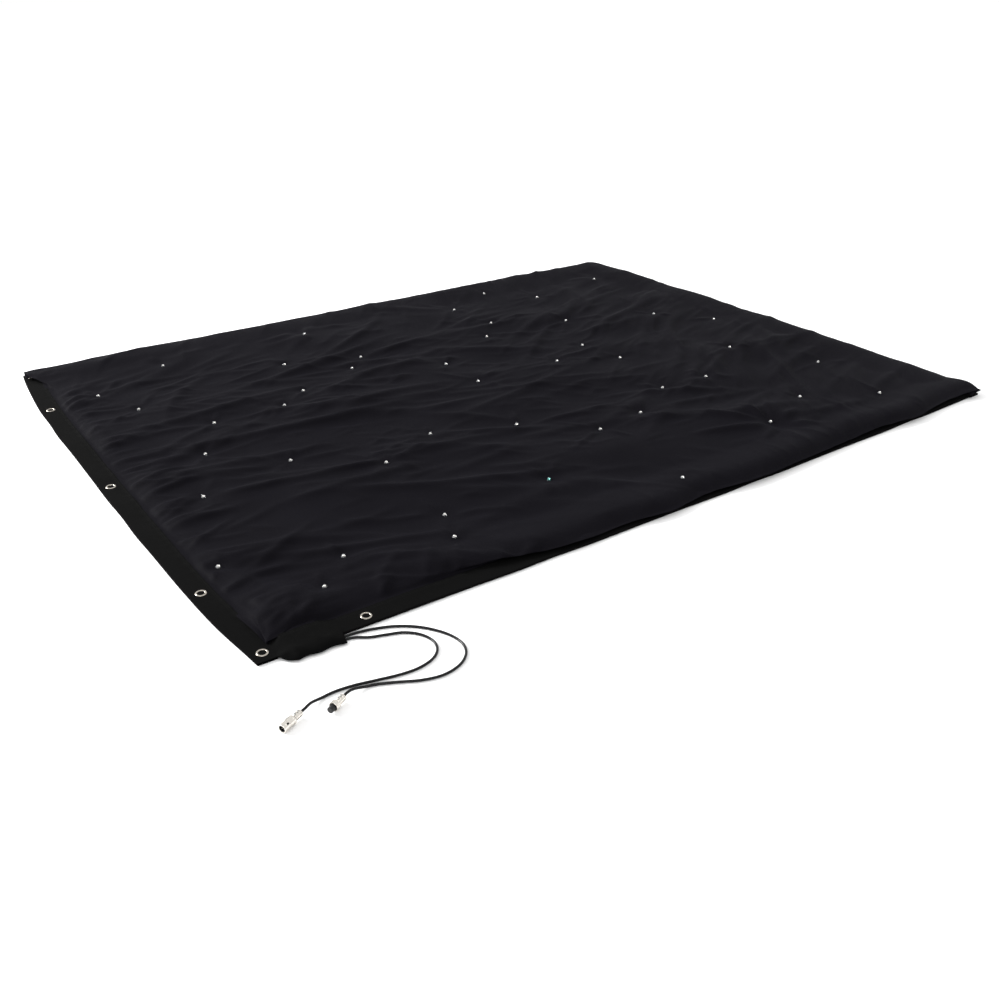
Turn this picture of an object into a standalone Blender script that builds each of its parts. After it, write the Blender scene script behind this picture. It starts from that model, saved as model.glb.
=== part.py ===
"""LED star cloth: a black backdrop cloth with point lamps, laid flat on a floor.

A front cloth and a back lining are bound together at the edge by four folded bands, which
carry metal eyelets. Between the two cloths lie six lamp strings, a bus cable and a junction
box. Two leads leave through a gap in the front band and end in round four-pole connectors.

Frame: +X along the long side, +Y from the front edge to the back edge, +Z up. The origin is
the centre of the cloth on the floor. Places are measured from the cloth's front left corner:
`from_corner` turns a place on the floor into the frame, and `on_cloth` one on the bowed cloth.
Units are metres.
"""

import math

import bmesh
import bpy
from mathutils import Matrix, Vector
from mathutils.bvhtree import BVHTree

# Cloth
CLOTH_LENGTH = 2.0
CLOTH_WIDTH = 1.5
CLOTH_THICK = 0.0010
LINING_THICK = 0.0008
BAND_WIDTH = 0.045
BAND_THICK = 0.0010
GAP = 0.0003

# Bow of the edges: a laid cloth's sides swell outward between its corners
SIDE_BOW = 0.026
FRONT_BOW = 0.012

# Loft of the front cloth over the lamps, and the broad folds it lies in
CLOTH_LOFT = 0.0125
LOFT_RAMP = 0.035
GRID_PITCH = 0.150

# Eyelets
EYELET_RADIUS = 0.01025
EYELET_BORE = 0.0068
EYELET_BARREL = 0.0078
EYELET_FLANGE = 0.0008
EYELET_PITCH = 0.49
EYELET_START_SIDE = 0.24
EYELET_START_FRONT = 0.21
EYELET_SIDES = 8

# Lamps and their cable
LAMP_RADIUS = 0.0046
LAMP_HOLDER = 0.0062
LAMP_PLAY = 0.0012
LENS_RADIUS = 0.0036
LENS_HEIGHT = 0.0030
LAMP_SIDES = 6
STRING_RADIUS = 0.0012
STRING_STEP = 0.085
BUS_RADIUS = 0.0018
BUS_Y = 0.072
BUS_BEND = 0.045
BUS_LEAD_IN = 0.024

# Junction box, measured from the front left corner
BOX_CENTRE = (0.122, 0.128)
BOX_LENGTH = 0.070
BOX_WIDTH = 0.044
BOX_HEIGHT = 0.0095
BOX_WALL = 0.0012
LID_THICK = 0.0014
BOARD_THICK = 0.0016
RIB_HEIGHT = 0.0012
PILLAR_RADIUS = 0.0026
SCREW_RADIUS = 0.0010
SCREW_HEAD = 0.0020

# Leads and the gap they leave by
CORD_RADIUS = 0.00235
EXIT_START = 0.066
EXIT_END = 0.130
EXIT_RAMP = 0.008
GLAND_LENGTH = 0.020
LEAD_STRAIGHT = 0.012
LEAD_FALL = 0.040
LEAD_FALL_INSIDE = 0.030

# Connectors
CONNECTOR_SIDES = 16
REAR_RADIUS = 0.0057
REAR_BORE = 0.0043
CLAMP_START = 0.0020
CLAMP_END = 0.0150
RING_RADIUS = 0.0078
INSERT_RADIUS = 0.0051
INSERT_LENGTH = 0.012
PIN_RADIUS = 0.0006
PIN_CIRCLE = 0.0026
REAR_WALL = 0.0015
SHELL_STEP = 0.0020
BARREL_RADIUS = 0.0075
THREAD_RADIUS = 0.0068
PLUG_FACE = 0.0210
PLUG_LENGTH = 0.0420
NECK_RADIUS = 0.0052
COLLAR_RADIUS = 0.0062
COLLAR_LENGTH = 0.0012
RING_REAR = 0.0165
RING_LENGTH = 0.0100
RING_LIP = 0.0030
RING_EDGE = 0.0010
SOCKET_LENGTH = 0.0235
AXIS_HEIGHT = RING_RADIUS + GAP

# Heights of the layers at the bound edge, from the floor up
BAND_BASE = EYELET_FLANGE + GAP
LINING_BASE = BAND_BASE + BAND_THICK + GAP
LINING_TOP = LINING_BASE + LINING_THICK
CLOTH_TOP = LINING_TOP + GAP + CLOTH_THICK
BAND_TOP = CLOTH_TOP + GAP + BAND_THICK
EYELET_TOP = BAND_TOP + GAP + EYELET_FLANGE
EXIT_RISE = 2.0 * CORD_RADIUS + 3.0 * GAP

# Lamps of each string, in percent of the cloth's length and width, front to back
LAMP_STRINGS = {
    "lamp_string_1": ((10, 9), (14, 14), (4, 20), (8, 38), (12, 51), (10, 73), (7, 82)),
    "lamp_string_2": ((24, 10), (26, 16), (27, 33), (19, 42), (16, 61), (25, 61), (29, 65), (31, 78),
                      (17, 89)),
    "lamp_string_3": ((50, 5), (39, 16), (45, 34), (35, 38), (49, 52), (49, 62), (38, 70), (41, 74),
                      (38, 89)),
    "lamp_string_4": ((52, 25), (59, 26), (67, 32), (62, 52), (60, 70), (64, 76), (63, 87)),
    "lamp_string_5": ((70, 12), (79, 16), (74, 31), (70, 47), (69, 56), (74, 69), (78, 85), (72, 93)),
    "lamp_string_6": ((88, 9), (91, 25), (85, 39), (93, 53), (87, 62), (92, 88)),
}

# Broad folds: start, end, half width and height, measured from the front left corner
FOLDS = (
    ((0.10, 0.13), (0.14, 0.13), 0.075, 0.016),
    ((0.42, 0.14), (0.86, 0.20), 0.110, 0.018),
    ((0.95, 0.12), (1.35, 0.22), 0.110, 0.012),
    ((1.50, 0.20), (1.86, 0.62), 0.120, 0.010),
    ((0.20, 1.00), (1.00, 1.10), 0.140, 0.008),
    ((1.10, 1.25), (1.60, 1.32), 0.120, 0.012),
    ((0.60, 0.60), (1.20, 0.66), 0.130, 0.007),
)

# Route points of the two leads, measured from the front left corner, on the floor
INPUT_ROUTE = (
    (0.096, 0.061), (0.089, 0.046), (0.082, 0.032), (0.079, 0.018), (0.082, 0.004),
    (0.093, -0.009), (0.112, -0.0155), (0.140, -0.0165), (0.163, -0.021), (0.184, -0.034),
    (0.209, -0.043), (0.237, -0.054), (0.257, -0.074), (0.265, -0.100), (0.258, -0.124),
    (0.237, -0.141), (0.206, -0.148), (0.172, -0.145), (0.138, -0.137), (0.100, -0.128),
    (0.066, -0.125), (0.034, -0.130),
)
OUTPUT_ROUTE = (
    (0.122, 0.061), (0.116, 0.047), (0.110, 0.034), (0.108, 0.020), (0.113, 0.006),
    (0.126, -0.005), (0.146, -0.0095), (0.170, -0.011), (0.202, -0.018), (0.236, -0.032),
    (0.268, -0.057), (0.292, -0.092), (0.301, -0.126), (0.293, -0.155), (0.268, -0.176),
    (0.232, -0.184), (0.196, -0.176), (0.160, -0.158), (0.128, -0.144), (0.100, -0.140),
)
INPUT_GLAND = 0.099
OUTPUT_GLAND = 0.124
INPUT_REAR = (0.004, -0.145)
OUTPUT_REAR = (0.073, -0.149)
INPUT_HEADING = math.radians(205.0)
OUTPUT_HEADING = math.radians(208.0)

BLACK_CLOTH = ("black_cloth", (0.012, 0.012, 0.016), 0.75, 0.0)
BLACK_LINING = ("black_lining", (0.010, 0.010, 0.012), 0.80, 0.0)
BLACK_WEBBING = ("black_webbing", (0.011, 0.011, 0.011), 0.85, 0.0)
NICKEL = ("nickel_plate", (0.60, 0.57, 0.52), 0.22, 1.0)
CLEAR_LAMP = ("clear_lamp", (0.80, 0.82, 0.84), 0.15, 0.0)
BLACK_JACKET = ("black_jacket", (0.015, 0.015, 0.017), 0.45, 0.0)
BLACK_PLASTIC = ("black_plastic", (0.020, 0.020, 0.022), 0.50, 0.0)
GREEN_BOARD = ("green_board", (0.010, 0.120, 0.040), 0.40, 0.0)
BRASS = ("brass_pin", (0.70, 0.50, 0.20), 0.25, 1.0)
STEEL = ("steel_screw", (0.50, 0.50, 0.50), 0.30, 1.0)


def new_collection(name):
    """Make a collection in the scene."""
    collection = bpy.data.collections.new(name)
    bpy.context.scene.collection.children.link(collection)
    return collection


def finish(spec):
    """Return the material for a finish, made once."""
    name, colour, roughness, metallic = spec
    material = bpy.data.materials.get(name)
    if material is None:
        material = bpy.data.materials.new(name)
        material.use_nodes = True
        shader = material.node_tree.nodes["Principled BSDF"]
        shader.inputs["Base Color"].default_value = (*colour, 1.0)
        shader.inputs["Roughness"].default_value = roughness
        shader.inputs["Metallic"].default_value = metallic
    return material


def from_corner(x, y):
    """Turn a place measured from the front left corner into the frame."""
    return x - CLOTH_LENGTH / 2.0, y - CLOTH_WIDTH / 2.0


def on_cloth(x, y):
    """The same for a place on the cloth, moved outward by the bow of the edges."""
    along = 2.0 * min(1.0, max(0.0, x / CLOTH_LENGTH)) - 1.0
    across = 2.0 * min(1.0, max(0.0, y / CLOTH_WIDTH)) - 1.0
    flat_x, flat_y = from_corner(x, y)
    return flat_x + SIDE_BOW * along * (1.0 - across ** 4), flat_y + FRONT_BOW * across * (1.0 - along ** 2)


def add_object(name, data, spec=None, parent=None):
    """Link an object to the model's collection, with its finish and its parent."""
    obj = bpy.data.objects.new(name, data)
    PARTS.objects.link(obj)
    if spec is not None:
        data.materials.append(finish(spec))
    obj.parent = parent
    return obj


def add_cutter(name, data, parent=None):
    """Link an object that only cuts or joins another."""
    obj = bpy.data.objects.new(name, data)
    CUTTERS.objects.link(obj)
    obj.hide_render = True
    obj.display_type = "WIRE"
    obj.parent = parent
    return obj


def mesh_from(bm, name):
    """Turn a bmesh into mesh data."""
    mesh = bpy.data.meshes.new(name)
    bm.to_mesh(mesh)
    bm.free()
    return mesh


def box_matrix(low, high):
    """Matrix that carries a unit cube onto the box between two corners."""
    low = Vector(low)
    high = Vector(high)
    size = high - low
    return Matrix.Translation((low + high) / 2.0) @ Matrix.Diagonal((*size, 1.0))


def boxes(name, spans):
    """Mesh of plain boxes, each between two corners."""
    bm = bmesh.new()
    for low, high in spans:
        bmesh.ops.create_cube(bm, size=1.0, matrix=box_matrix(low, high))
    return mesh_from(bm, name)


def cylinders(name, radius, depth, matrices, sides):
    """Mesh of closed cylinders about the Z axes of the matrices."""
    bm = bmesh.new()
    for matrix in matrices:
        bmesh.ops.create_cone(bm, cap_ends=True, segments=sides, radius1=radius, radius2=radius,
                              depth=depth, matrix=matrix)
    return mesh_from(bm, name)


def boolean(obj, other, operation="DIFFERENCE"):
    """Cut an object with another, or join them."""
    modifier = obj.modifiers.new(other.name, "BOOLEAN")
    modifier.operation = operation
    modifier.object = other
    modifier.solver = "EXACT"


def turned_mesh(name, profile):
    """Profile edges for a turned piece; a profile clear of the axis is a closed loop."""
    count = len(profile)
    edges = [(i, i + 1) for i in range(count - 1)]
    if profile[0][0] > 0.0:
        edges.append((count - 1, 0))
    mesh = bpy.data.meshes.new(name)
    mesh.from_pydata([(radius, 0.0, height) for radius, height in profile], edges, [])
    return mesh


def add_screw(obj, sides):
    """Turn the profile of an object once about its Z axis."""
    screw = obj.modifiers.new("turn", "SCREW")
    screw.axis = "Z"
    screw.steps = sides
    screw.render_steps = sides
    screw.use_merge_vertices = True
    screw.merge_threshold = 0.00001
    screw.use_smooth_shade = True


def turned(name, profile, spec, parent=None, sides=CONNECTOR_SIDES):
    """Turned piece about the Z axis of its parent."""
    obj = add_object(name, turned_mesh(name, profile), spec, parent)
    add_screw(obj, sides)
    return obj


def tube_curve(name, points, radius, resolution):
    """Curve data of a closed tube through points."""
    curve = bpy.data.curves.new(name, "CURVE")
    curve.dimensions = "3D"
    curve.bevel_depth = radius
    curve.bevel_resolution = resolution
    curve.use_fill_caps = True
    spline = curve.splines.new("POLY")
    spline.points.add(len(points) - 1)
    for point, place in zip(spline.points, points):
        point.co = (*place, 1.0)
    return curve


def tube_as_mesh(name, curve, spec):
    """Tube made a mesh with its caps welded on, so that it can take a Boolean."""
    source = bpy.data.objects.new(name + "_curve", curve)
    PARTS.objects.link(source)
    bpy.context.view_layer.update()
    evaluated = source.evaluated_get(bpy.context.evaluated_depsgraph_get())
    bm = bmesh.new()
    bm.from_mesh(bpy.data.meshes.new_from_object(evaluated))
    bmesh.ops.remove_doubles(bm, verts=bm.verts, dist=0.00001)
    place = source.matrix_world.copy()
    bpy.data.objects.remove(source)
    obj = add_object(name, mesh_from(bm, name), spec)
    obj.matrix_world = place
    return obj


def smooth_route(points, step):
    """Points about one step apart on a smooth curve through route points."""
    knots = [Vector(point) for point in points]
    knots = [2.0 * knots[0] - knots[1]] + knots + [2.0 * knots[-1] - knots[-2]]
    route = []
    for before, start, end, after in zip(knots, knots[1:], knots[2:], knots[3:]):
        count = max(1, round((end - start).length / step))
        for index in range(count):
            t = index / count
            route.append(0.5 * (2.0 * start + (end - before) * t
                                + (2.0 * before - 5.0 * start + 4.0 * end - after) * t ** 2
                                + (3.0 * start - before - 3.0 * end + after) * t ** 3))
    route.append(knots[-2])
    return route


def ramp(value, start, width):
    """Smooth step from 0 at start to 1 one width further."""
    t = min(1.0, max(0.0, (value - start) / width))
    return t * t * (3.0 - 2.0 * t)


def fold_height(x, y):
    """Height of the broad folds over the loft, the tallest fold ruling."""
    place = Vector((x, y))
    height = 0.0
    for start, end, half_width, rise in FOLDS:
        along = Vector(end) - Vector(start)
        share = min(1.0, max(0.0, (place - Vector(start)).dot(along) / along.length_squared))
        distance = (place - Vector(start) - share * along).length
        height = max(height, rise * math.exp(-0.5 * (distance / half_width) ** 2))
    return height


def cloth_height(x, y):
    """Height of the front cloth's upper face: flat in the bands, raised over lamps and leads."""
    edge = min(x, CLOTH_LENGTH - x, y, CLOTH_WIDTH - y)
    field = ramp(edge, BAND_WIDTH + 0.002, LOFT_RAMP) * (CLOTH_LOFT + fold_height(x, y))
    leads = ramp(x, EXIT_START - EXIT_RAMP, EXIT_RAMP) - ramp(x, EXIT_END, EXIT_RAMP)
    near_front = 1.0 if y < BAND_WIDTH + 0.002 + LOFT_RAMP else 0.0
    return CLOTH_TOP + max(field, leads * near_front * EXIT_RISE)


def grid_lines(length, extra=()):
    """Grid lines along one side: the bound edges, the loft's ramp, and even steps between."""
    hem = BAND_THICK + GAP
    inner = BAND_WIDTH + 0.002
    crest = inner + LOFT_RAMP
    start = max((crest,) + tuple(extra))
    count = round((length - crest - start) / GRID_PITCH)
    even = [start + (length - crest - start) * index / count for index in range(count + 1)]
    return sorted({hem, inner, crest, *extra, *even, length - inner, length - hem})


def column_lines():
    """Grid lines along the cloth's length, with those of the gap for the leads."""
    return grid_lines(CLOTH_LENGTH, (EXIT_START - EXIT_RAMP, EXIT_START, EXIT_END, EXIT_END + EXIT_RAMP))


def cloth_grid(columns, rows, height):
    """Grid on the bowed cloth at the given lines, each point at the height of its place."""
    bm = bmesh.new()
    bmesh.ops.create_grid(bm, x_segments=len(columns) - 1, y_segments=len(rows) - 1, size=1.0)
    for vert in bm.verts:
        x = columns[round((vert.co.x + 1.0) / 2.0 * (len(columns) - 1))]
        y = rows[round((vert.co.y + 1.0) / 2.0 * (len(rows) - 1))]
        vert.co = (*on_cloth(x, y), height(x, y))
    return bm


def cloth_surface():
    """Upper face of the front cloth as a triangulated grid."""
    bm = cloth_grid(column_lines(), grid_lines(CLOTH_WIDTH), cloth_height)
    bmesh.ops.triangulate(bm, faces=bm.faces)
    return bm


def add_slab_thickness(obj, thickness):
    """Give a grid its thickness downward."""
    shell = obj.modifiers.new("thickness", "SOLIDIFY")
    shell.thickness = thickness
    shell.offset = -1.0


def slab_mesh(name, columns, rows, top):
    """Flat grid on the bowed cloth at one height."""
    return mesh_from(cloth_grid(columns, rows, lambda _x, _y: top), name)


def lamp_frames(tree):
    """Place of each lamp: on the cloth's upper face, with Z along its normal."""
    frames = {}
    for name, shares in LAMP_STRINGS.items():
        frames[name] = []
        for along, across in shares:
            x, y = on_cloth(CLOTH_LENGTH * along / 100.0, CLOTH_WIDTH * across / 100.0)
            hit, normal, _index, _distance = tree.ray_cast(Vector((x, y, 1.0)), Vector((0.0, 0.0, -1.0)))
            turn = normal.to_track_quat("Z", "Y").to_matrix().to_4x4()
            frames[name].append(Matrix.Translation(hit) @ turn)
    return frames


def eyelet_places():
    """Eyelet centres from the front left corner: four corners, then the four sides."""
    inset = BAND_WIDTH / 2.0
    far_x = CLOTH_LENGTH - inset
    far_y = CLOTH_WIDTH - inset
    places = {
        "eyelet_front_left": (inset, inset),
        "eyelet_front_right": (far_x, inset),
        "eyelet_back_left": (inset, far_y),
        "eyelet_back_right": (far_x, far_y),
    }
    side_count = int((CLOTH_WIDTH - 2.0 * EYELET_START_SIDE) / EYELET_PITCH + 0.1) + 1
    for index in range(side_count):
        y = EYELET_START_SIDE + index * EYELET_PITCH
        places[f"eyelet_left_{index + 1}"] = (inset, y)
        places[f"eyelet_right_{index + 1}"] = (far_x, y)
    front_count = int((CLOTH_LENGTH - 2.0 * EYELET_START_FRONT) / EYELET_PITCH + 0.1) + 1
    for index in range(front_count):
        x = EYELET_START_FRONT + index * EYELET_PITCH
        places[f"eyelet_front_{index + 1}"] = (x, inset)
        places[f"eyelet_back_{index + 1}"] = (x, far_y)
    return places


def make_eyelets(places):
    """Set eyelets: a barrel through all layers with a flange above and below."""
    mesh = turned_mesh("eyelet", (
        (EYELET_BORE, EYELET_TOP),
        (EYELET_RADIUS, EYELET_TOP),
        (EYELET_RADIUS, EYELET_TOP - EYELET_FLANGE),
        (EYELET_BARREL, EYELET_TOP - EYELET_FLANGE),
        (EYELET_BARREL, EYELET_FLANGE),
        (EYELET_RADIUS, EYELET_FLANGE),
        (EYELET_RADIUS, 0.0),
        (EYELET_BORE, 0.0),
    ))
    mesh.materials.append(finish(NICKEL))
    for name, (x, y) in places.items():
        eyelet = add_object(name, mesh)
        eyelet.location = (*on_cloth(x, y), 0.0)
        add_screw(eyelet, EYELET_SIDES)


def eyelet_cutter(places):
    """Cutter of round holes that the eyelet barrels pass through."""
    centres = [Matrix.Translation((*on_cloth(x, y), EYELET_TOP / 2.0)) for x, y in places.values()]
    radius = (EYELET_BARREL + GAP) / math.cos(math.pi / EYELET_SIDES)
    mesh = cylinders("eyelet_holes", radius, 2.0 * EYELET_TOP, centres, EYELET_SIDES)
    return add_cutter("eyelet_holes", mesh)


def make_front_cloth(surface, holes, frames):
    """Front cloth: the raised surface with its thickness, eyelet holes and lamp holes."""
    cloth = add_object("front_cloth", mesh_from(surface, "front_cloth"), BLACK_CLOTH)
    add_slab_thickness(cloth, CLOTH_THICK)
    boolean(cloth, holes)
    radius = (LENS_RADIUS + GAP) / math.cos(math.pi / LAMP_SIDES)
    places = [frame for string in frames.values() for frame in string]
    lamp_holes = cylinders("lamp_holes", radius, 4.0 * CLOTH_THICK, places, LAMP_SIDES)
    boolean(cloth, add_cutter("lamp_holes", lamp_holes))


def make_lining(holes):
    """Back lining: one flat sheet inside the bands."""
    mesh = slab_mesh("back_lining", column_lines(), grid_lines(CLOTH_WIDTH), LINING_TOP)
    lining = add_object("back_lining", mesh, BLACK_LINING)
    add_slab_thickness(lining, LINING_THICK)
    boolean(lining, holes)


def between(lines, low, high):
    """Grid lines from low to high: the ends, and the given lines between them."""
    return [low, *[line for line in lines if low < line < high], high]


def make_band(name, columns, rows, slot_columns, slot_rows, holes):
    """Binding band folded round one edge: a slab with a slot that opens inward."""
    band = add_object(name, slab_mesh(name, columns, rows, BAND_TOP), BLACK_WEBBING)
    add_slab_thickness(band, BAND_TOP - BAND_BASE)
    slot_name = name + "_slot"
    slot = add_cutter(slot_name, slab_mesh(slot_name, slot_columns, slot_rows, BAND_TOP - BAND_THICK))
    add_slab_thickness(slot, BAND_TOP - BAND_BASE - 2.0 * BAND_THICK)
    boolean(band, slot)
    boolean(band, holes)
    return band


def make_bands(holes):
    """Four bands: the side ones run the full width, the others fit between them."""
    columns = column_lines()
    rows = grid_lines(CLOTH_WIDTH)
    side_rows = between(rows, 0.0, CLOTH_WIDTH)
    slot_rows = between(rows, -GAP, CLOTH_WIDTH + GAP)
    far_x = CLOTH_LENGTH - BAND_WIDTH
    far_y = CLOTH_WIDTH - BAND_WIDTH
    make_band("band_left", [0.0, BAND_WIDTH], side_rows,
              [BAND_THICK, BAND_WIDTH + GAP], slot_rows, holes)
    make_band("band_right", [far_x, CLOTH_LENGTH], side_rows,
              [far_x - GAP, CLOTH_LENGTH - BAND_THICK], slot_rows, holes)
    cross_columns = between(columns, BAND_WIDTH + GAP, far_x - GAP)
    slot_columns = between(columns, BAND_WIDTH, far_x)
    make_band("band_back", cross_columns, [far_y, CLOTH_WIDTH],
              slot_columns, [far_y - GAP, CLOTH_WIDTH - BAND_THICK], holes)
    front = make_band("band_front", cross_columns, [0.0, BAND_WIDTH],
                      slot_columns, [BAND_THICK, BAND_WIDTH + GAP], holes)
    gap_columns = [EXIT_START - EXIT_RAMP, EXIT_START, EXIT_END, EXIT_END + EXIT_RAMP]
    gap_rows = [-GAP, rows[0], rows[1]]
    gap = add_cutter("lead_gap", slab_mesh("lead_gap", gap_columns, gap_rows, BAND_TOP + EXIT_RISE))
    add_slab_thickness(gap, BAND_TOP + EXIT_RISE - BAND_BASE - BAND_THICK - GAP / 2.0)
    boolean(front, gap)


def lamp_mesh(name, frames):
    """Lamps: a holder with a shoulder under the cloth and a domed lens through its hole."""
    shoulder = -(CLOTH_THICK + LAMP_PLAY)
    profile = (
        (LAMP_RADIUS, shoulder - LAMP_HOLDER),
        (LAMP_RADIUS, shoulder),
        (LENS_RADIUS, shoulder),
        (LENS_RADIUS, LENS_HEIGHT / 2.0),
        (LENS_RADIUS / 2.0, LENS_HEIGHT),
    )
    bm = bmesh.new()
    for frame in frames:
        rings = []
        for radius, height in profile:
            circle = bmesh.ops.create_circle(bm, segments=LAMP_SIDES, radius=radius,
                                             matrix=frame @ Matrix.Translation((0.0, 0.0, height)))
            rings.append(circle["verts"])
        for lower, upper in zip(rings, rings[1:]):
            for index in range(LAMP_SIDES):
                following = (index + 1) % LAMP_SIDES
                bm.faces.new((lower[index], lower[following], upper[following], upper[index]))
        bm.faces.new(list(reversed(rings[0])))
        bm.faces.new(rings[-1])
    bmesh.ops.recalc_face_normals(bm, faces=bm.faces)
    return mesh_from(bm, name)


def cable_point(tree, x, y):
    """Centre of a string's cable where it runs below the front cloth."""
    hit, _normal, _index, _distance = tree.ray_cast(Vector((x, y, 1.0)), Vector((0.0, 0.0, -1.0)))
    drop = CLOTH_THICK + LAMP_PLAY + LAMP_HOLDER / 2.0
    lowest = LINING_TOP + GAP + STRING_RADIUS
    return Vector((x, y, max(lowest, hit.z - drop)))


def string_route(tree, frames):
    """Cable route of one string: from the bus cable, on its first lamp's side, then from lamp to lamp."""
    holder = Matrix.Translation((0.0, 0.0, -(CLOTH_THICK + LAMP_PLAY + LAMP_HOLDER / 2.0)))
    lamps = [(frame @ holder).translation for frame in frames]
    bus_y = from_corner(0.0, BUS_Y)[1]
    bus_z = LINING_TOP + GAP + BUS_RADIUS
    first_tap = from_corner(BOX_CENTRE[0] + BOX_LENGTH / 2.0 + BUS_BEND + BUS_LEAD_IN, 0.0)[0]
    side = math.copysign(1.0, lamps[0].y - bus_y)
    tap = Vector((max(first_tap, lamps[0].x + 3.0 * LAMP_RADIUS), bus_y + side * (BUS_RADIUS + GAP), bus_z))
    route = [tap, tap + Vector((0.0, side * BUS_RADIUS, 0.0))]
    for start, end in zip([route[-1]] + lamps, lamps):
        count = max(1, round((end - start).length / STRING_STEP))
        for index in range(1, count):
            place = start.lerp(end, index / count)
            route.append(cable_point(tree, place.x, place.y))
        route.append(end)
    return route


def make_strings(tree, frames):
    """Lamp strings: each a thin cable with its lamps moulded on."""
    for name, places in frames.items():
        curve = tube_curve(name, string_route(tree, places), STRING_RADIUS, 1)
        string = tube_as_mesh(name, curve, CLEAR_LAMP)
        boolean(string, add_cutter(name + "_lamps", lamp_mesh(name + "_lamps", places)), "UNION")


def make_bus_cable(frames):
    """Bus cable along the front edge, from inside the junction box to the last string's tap."""
    right_wall = BOX_CENTRE[0] + BOX_LENGTH / 2.0
    low_z = LINING_TOP + GAP + BUS_RADIUS
    box_z = LINING_TOP + GAP + BOX_HEIGHT / 2.0
    last = max(places[0].translation.x for places in frames.values()) + 4.0 * LAMP_RADIUS
    start_x, start_y = from_corner(right_wall - 2.0 * BOX_WALL, BOX_CENTRE[1])
    bend_x, bus_y = from_corner(right_wall + BUS_BEND, BUS_Y)
    knots = (
        (start_x, start_y, box_z),
        (start_x + 0.010, start_y, box_z),
        (start_x + 0.022, start_y - 0.012, low_z),
        (bend_x - 0.012, bus_y + 0.010, low_z),
        (bend_x, bus_y, low_z),
        (bend_x + BUS_LEAD_IN / 2.0, bus_y, low_z),
    )
    route = smooth_route(knots, 0.012)
    route.append(Vector((last, bus_y, low_z)))
    add_object("bus_cable", tube_curve("bus_cable", route, BUS_RADIUS, 2), BLACK_JACKET)


def box_corners(length, width, low_z, high_z):
    """Two corners of a box about the junction box's centre."""
    x, y = from_corner(*BOX_CENTRE)
    low = (x - length / 2.0, y - width / 2.0, low_z)
    high = (x + length / 2.0, y + width / 2.0, high_z)
    return low, high


def screw_places():
    """The two lid screws, in opposite corners of the junction box."""
    x, y = from_corner(*BOX_CENTRE)
    across = BOX_LENGTH / 2.0 - BOX_WALL - PILLAR_RADIUS + GAP
    back = BOX_WIDTH / 2.0 - BOX_WALL - PILLAR_RADIUS + GAP
    return ((x - across, y + back), (x + across, y - back))


def make_junction_base(base_z):
    """Open box with two screw pillars, two board ribs and holes for glands and cable."""
    rim = base_z + BOX_HEIGHT
    floor = base_z + BOX_WALL
    block = boxes("junction_base", [box_corners(BOX_LENGTH, BOX_WIDTH, base_z, rim)])
    base = add_object("junction_base", block, BLACK_PLASTIC)
    inside = box_corners(BOX_LENGTH - 2.0 * BOX_WALL, BOX_WIDTH - 2.0 * BOX_WALL, floor, rim + GAP)
    boolean(base, add_cutter("junction_inside", boxes("junction_inside", [inside])))
    pillar_height = rim - base_z - BOX_WALL / 2.0
    centres = [Matrix.Translation((x, y, rim - pillar_height / 2.0)) for x, y in screw_places()]
    pillars = cylinders("junction_pillars", PILLAR_RADIUS, pillar_height, centres, 12)
    boolean(base, add_cutter("junction_pillars", pillars), "UNION")
    x, y = from_corner(*BOX_CENTRE)
    spans = []
    for side in (-1.0, 1.0):
        middle = x + side * BOX_LENGTH / 5.0
        spans.append(((middle - BOX_WALL, y - BOX_WIDTH / 4.0, base_z + BOX_WALL / 2.0),
                      (middle + BOX_WALL, y + BOX_WIDTH / 4.0, floor + RIB_HEIGHT)))
    boolean(base, add_cutter("junction_ribs", boxes("junction_ribs", spans)), "UNION")
    bores = [Matrix.Translation((px, py, rim)) for px, py in screw_places()]
    pilots = cylinders("pillar_bores", SCREW_RADIUS + GAP, BOX_HEIGHT, bores, 12)
    boolean(base, add_cutter("pillar_bores", pilots))
    boolean(base, wall_holes(base_z + BOX_HEIGHT / 2.0))


def wall_holes(height):
    """Cutter for the two gland holes in the front wall and the cable hole in the right wall."""
    front_y = from_corner(*BOX_CENTRE)[1] - BOX_WIDTH / 2.0
    right_x = from_corner(*BOX_CENTRE)[0] + BOX_LENGTH / 2.0
    bm = bmesh.new()
    for place in (INPUT_GLAND, OUTPUT_GLAND):
        matrix = Matrix.Translation((from_corner(place, 0.0)[0], front_y, height))
        bmesh.ops.create_cone(bm, cap_ends=True, segments=12, radius1=gland_neck() + GAP,
                              radius2=gland_neck() + GAP, depth=4.0 * BOX_WALL,
                              matrix=matrix @ Matrix.Rotation(math.pi / 2.0, 4, "X"))
    matrix = Matrix.Translation((right_x, from_corner(*BOX_CENTRE)[1], height))
    bmesh.ops.create_cone(bm, cap_ends=True, segments=12, radius1=BUS_RADIUS + 2.0 * GAP,
                          radius2=BUS_RADIUS + 2.0 * GAP, depth=4.0 * BOX_WALL,
                          matrix=matrix @ Matrix.Rotation(math.pi / 2.0, 4, "Y"))
    return add_cutter("wall_holes", mesh_from(bm, "wall_holes"))


def gland_neck():
    """Radius of the gland where it passes through the box's wall."""
    return CORD_RADIUS + 2.0 * GAP


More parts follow.
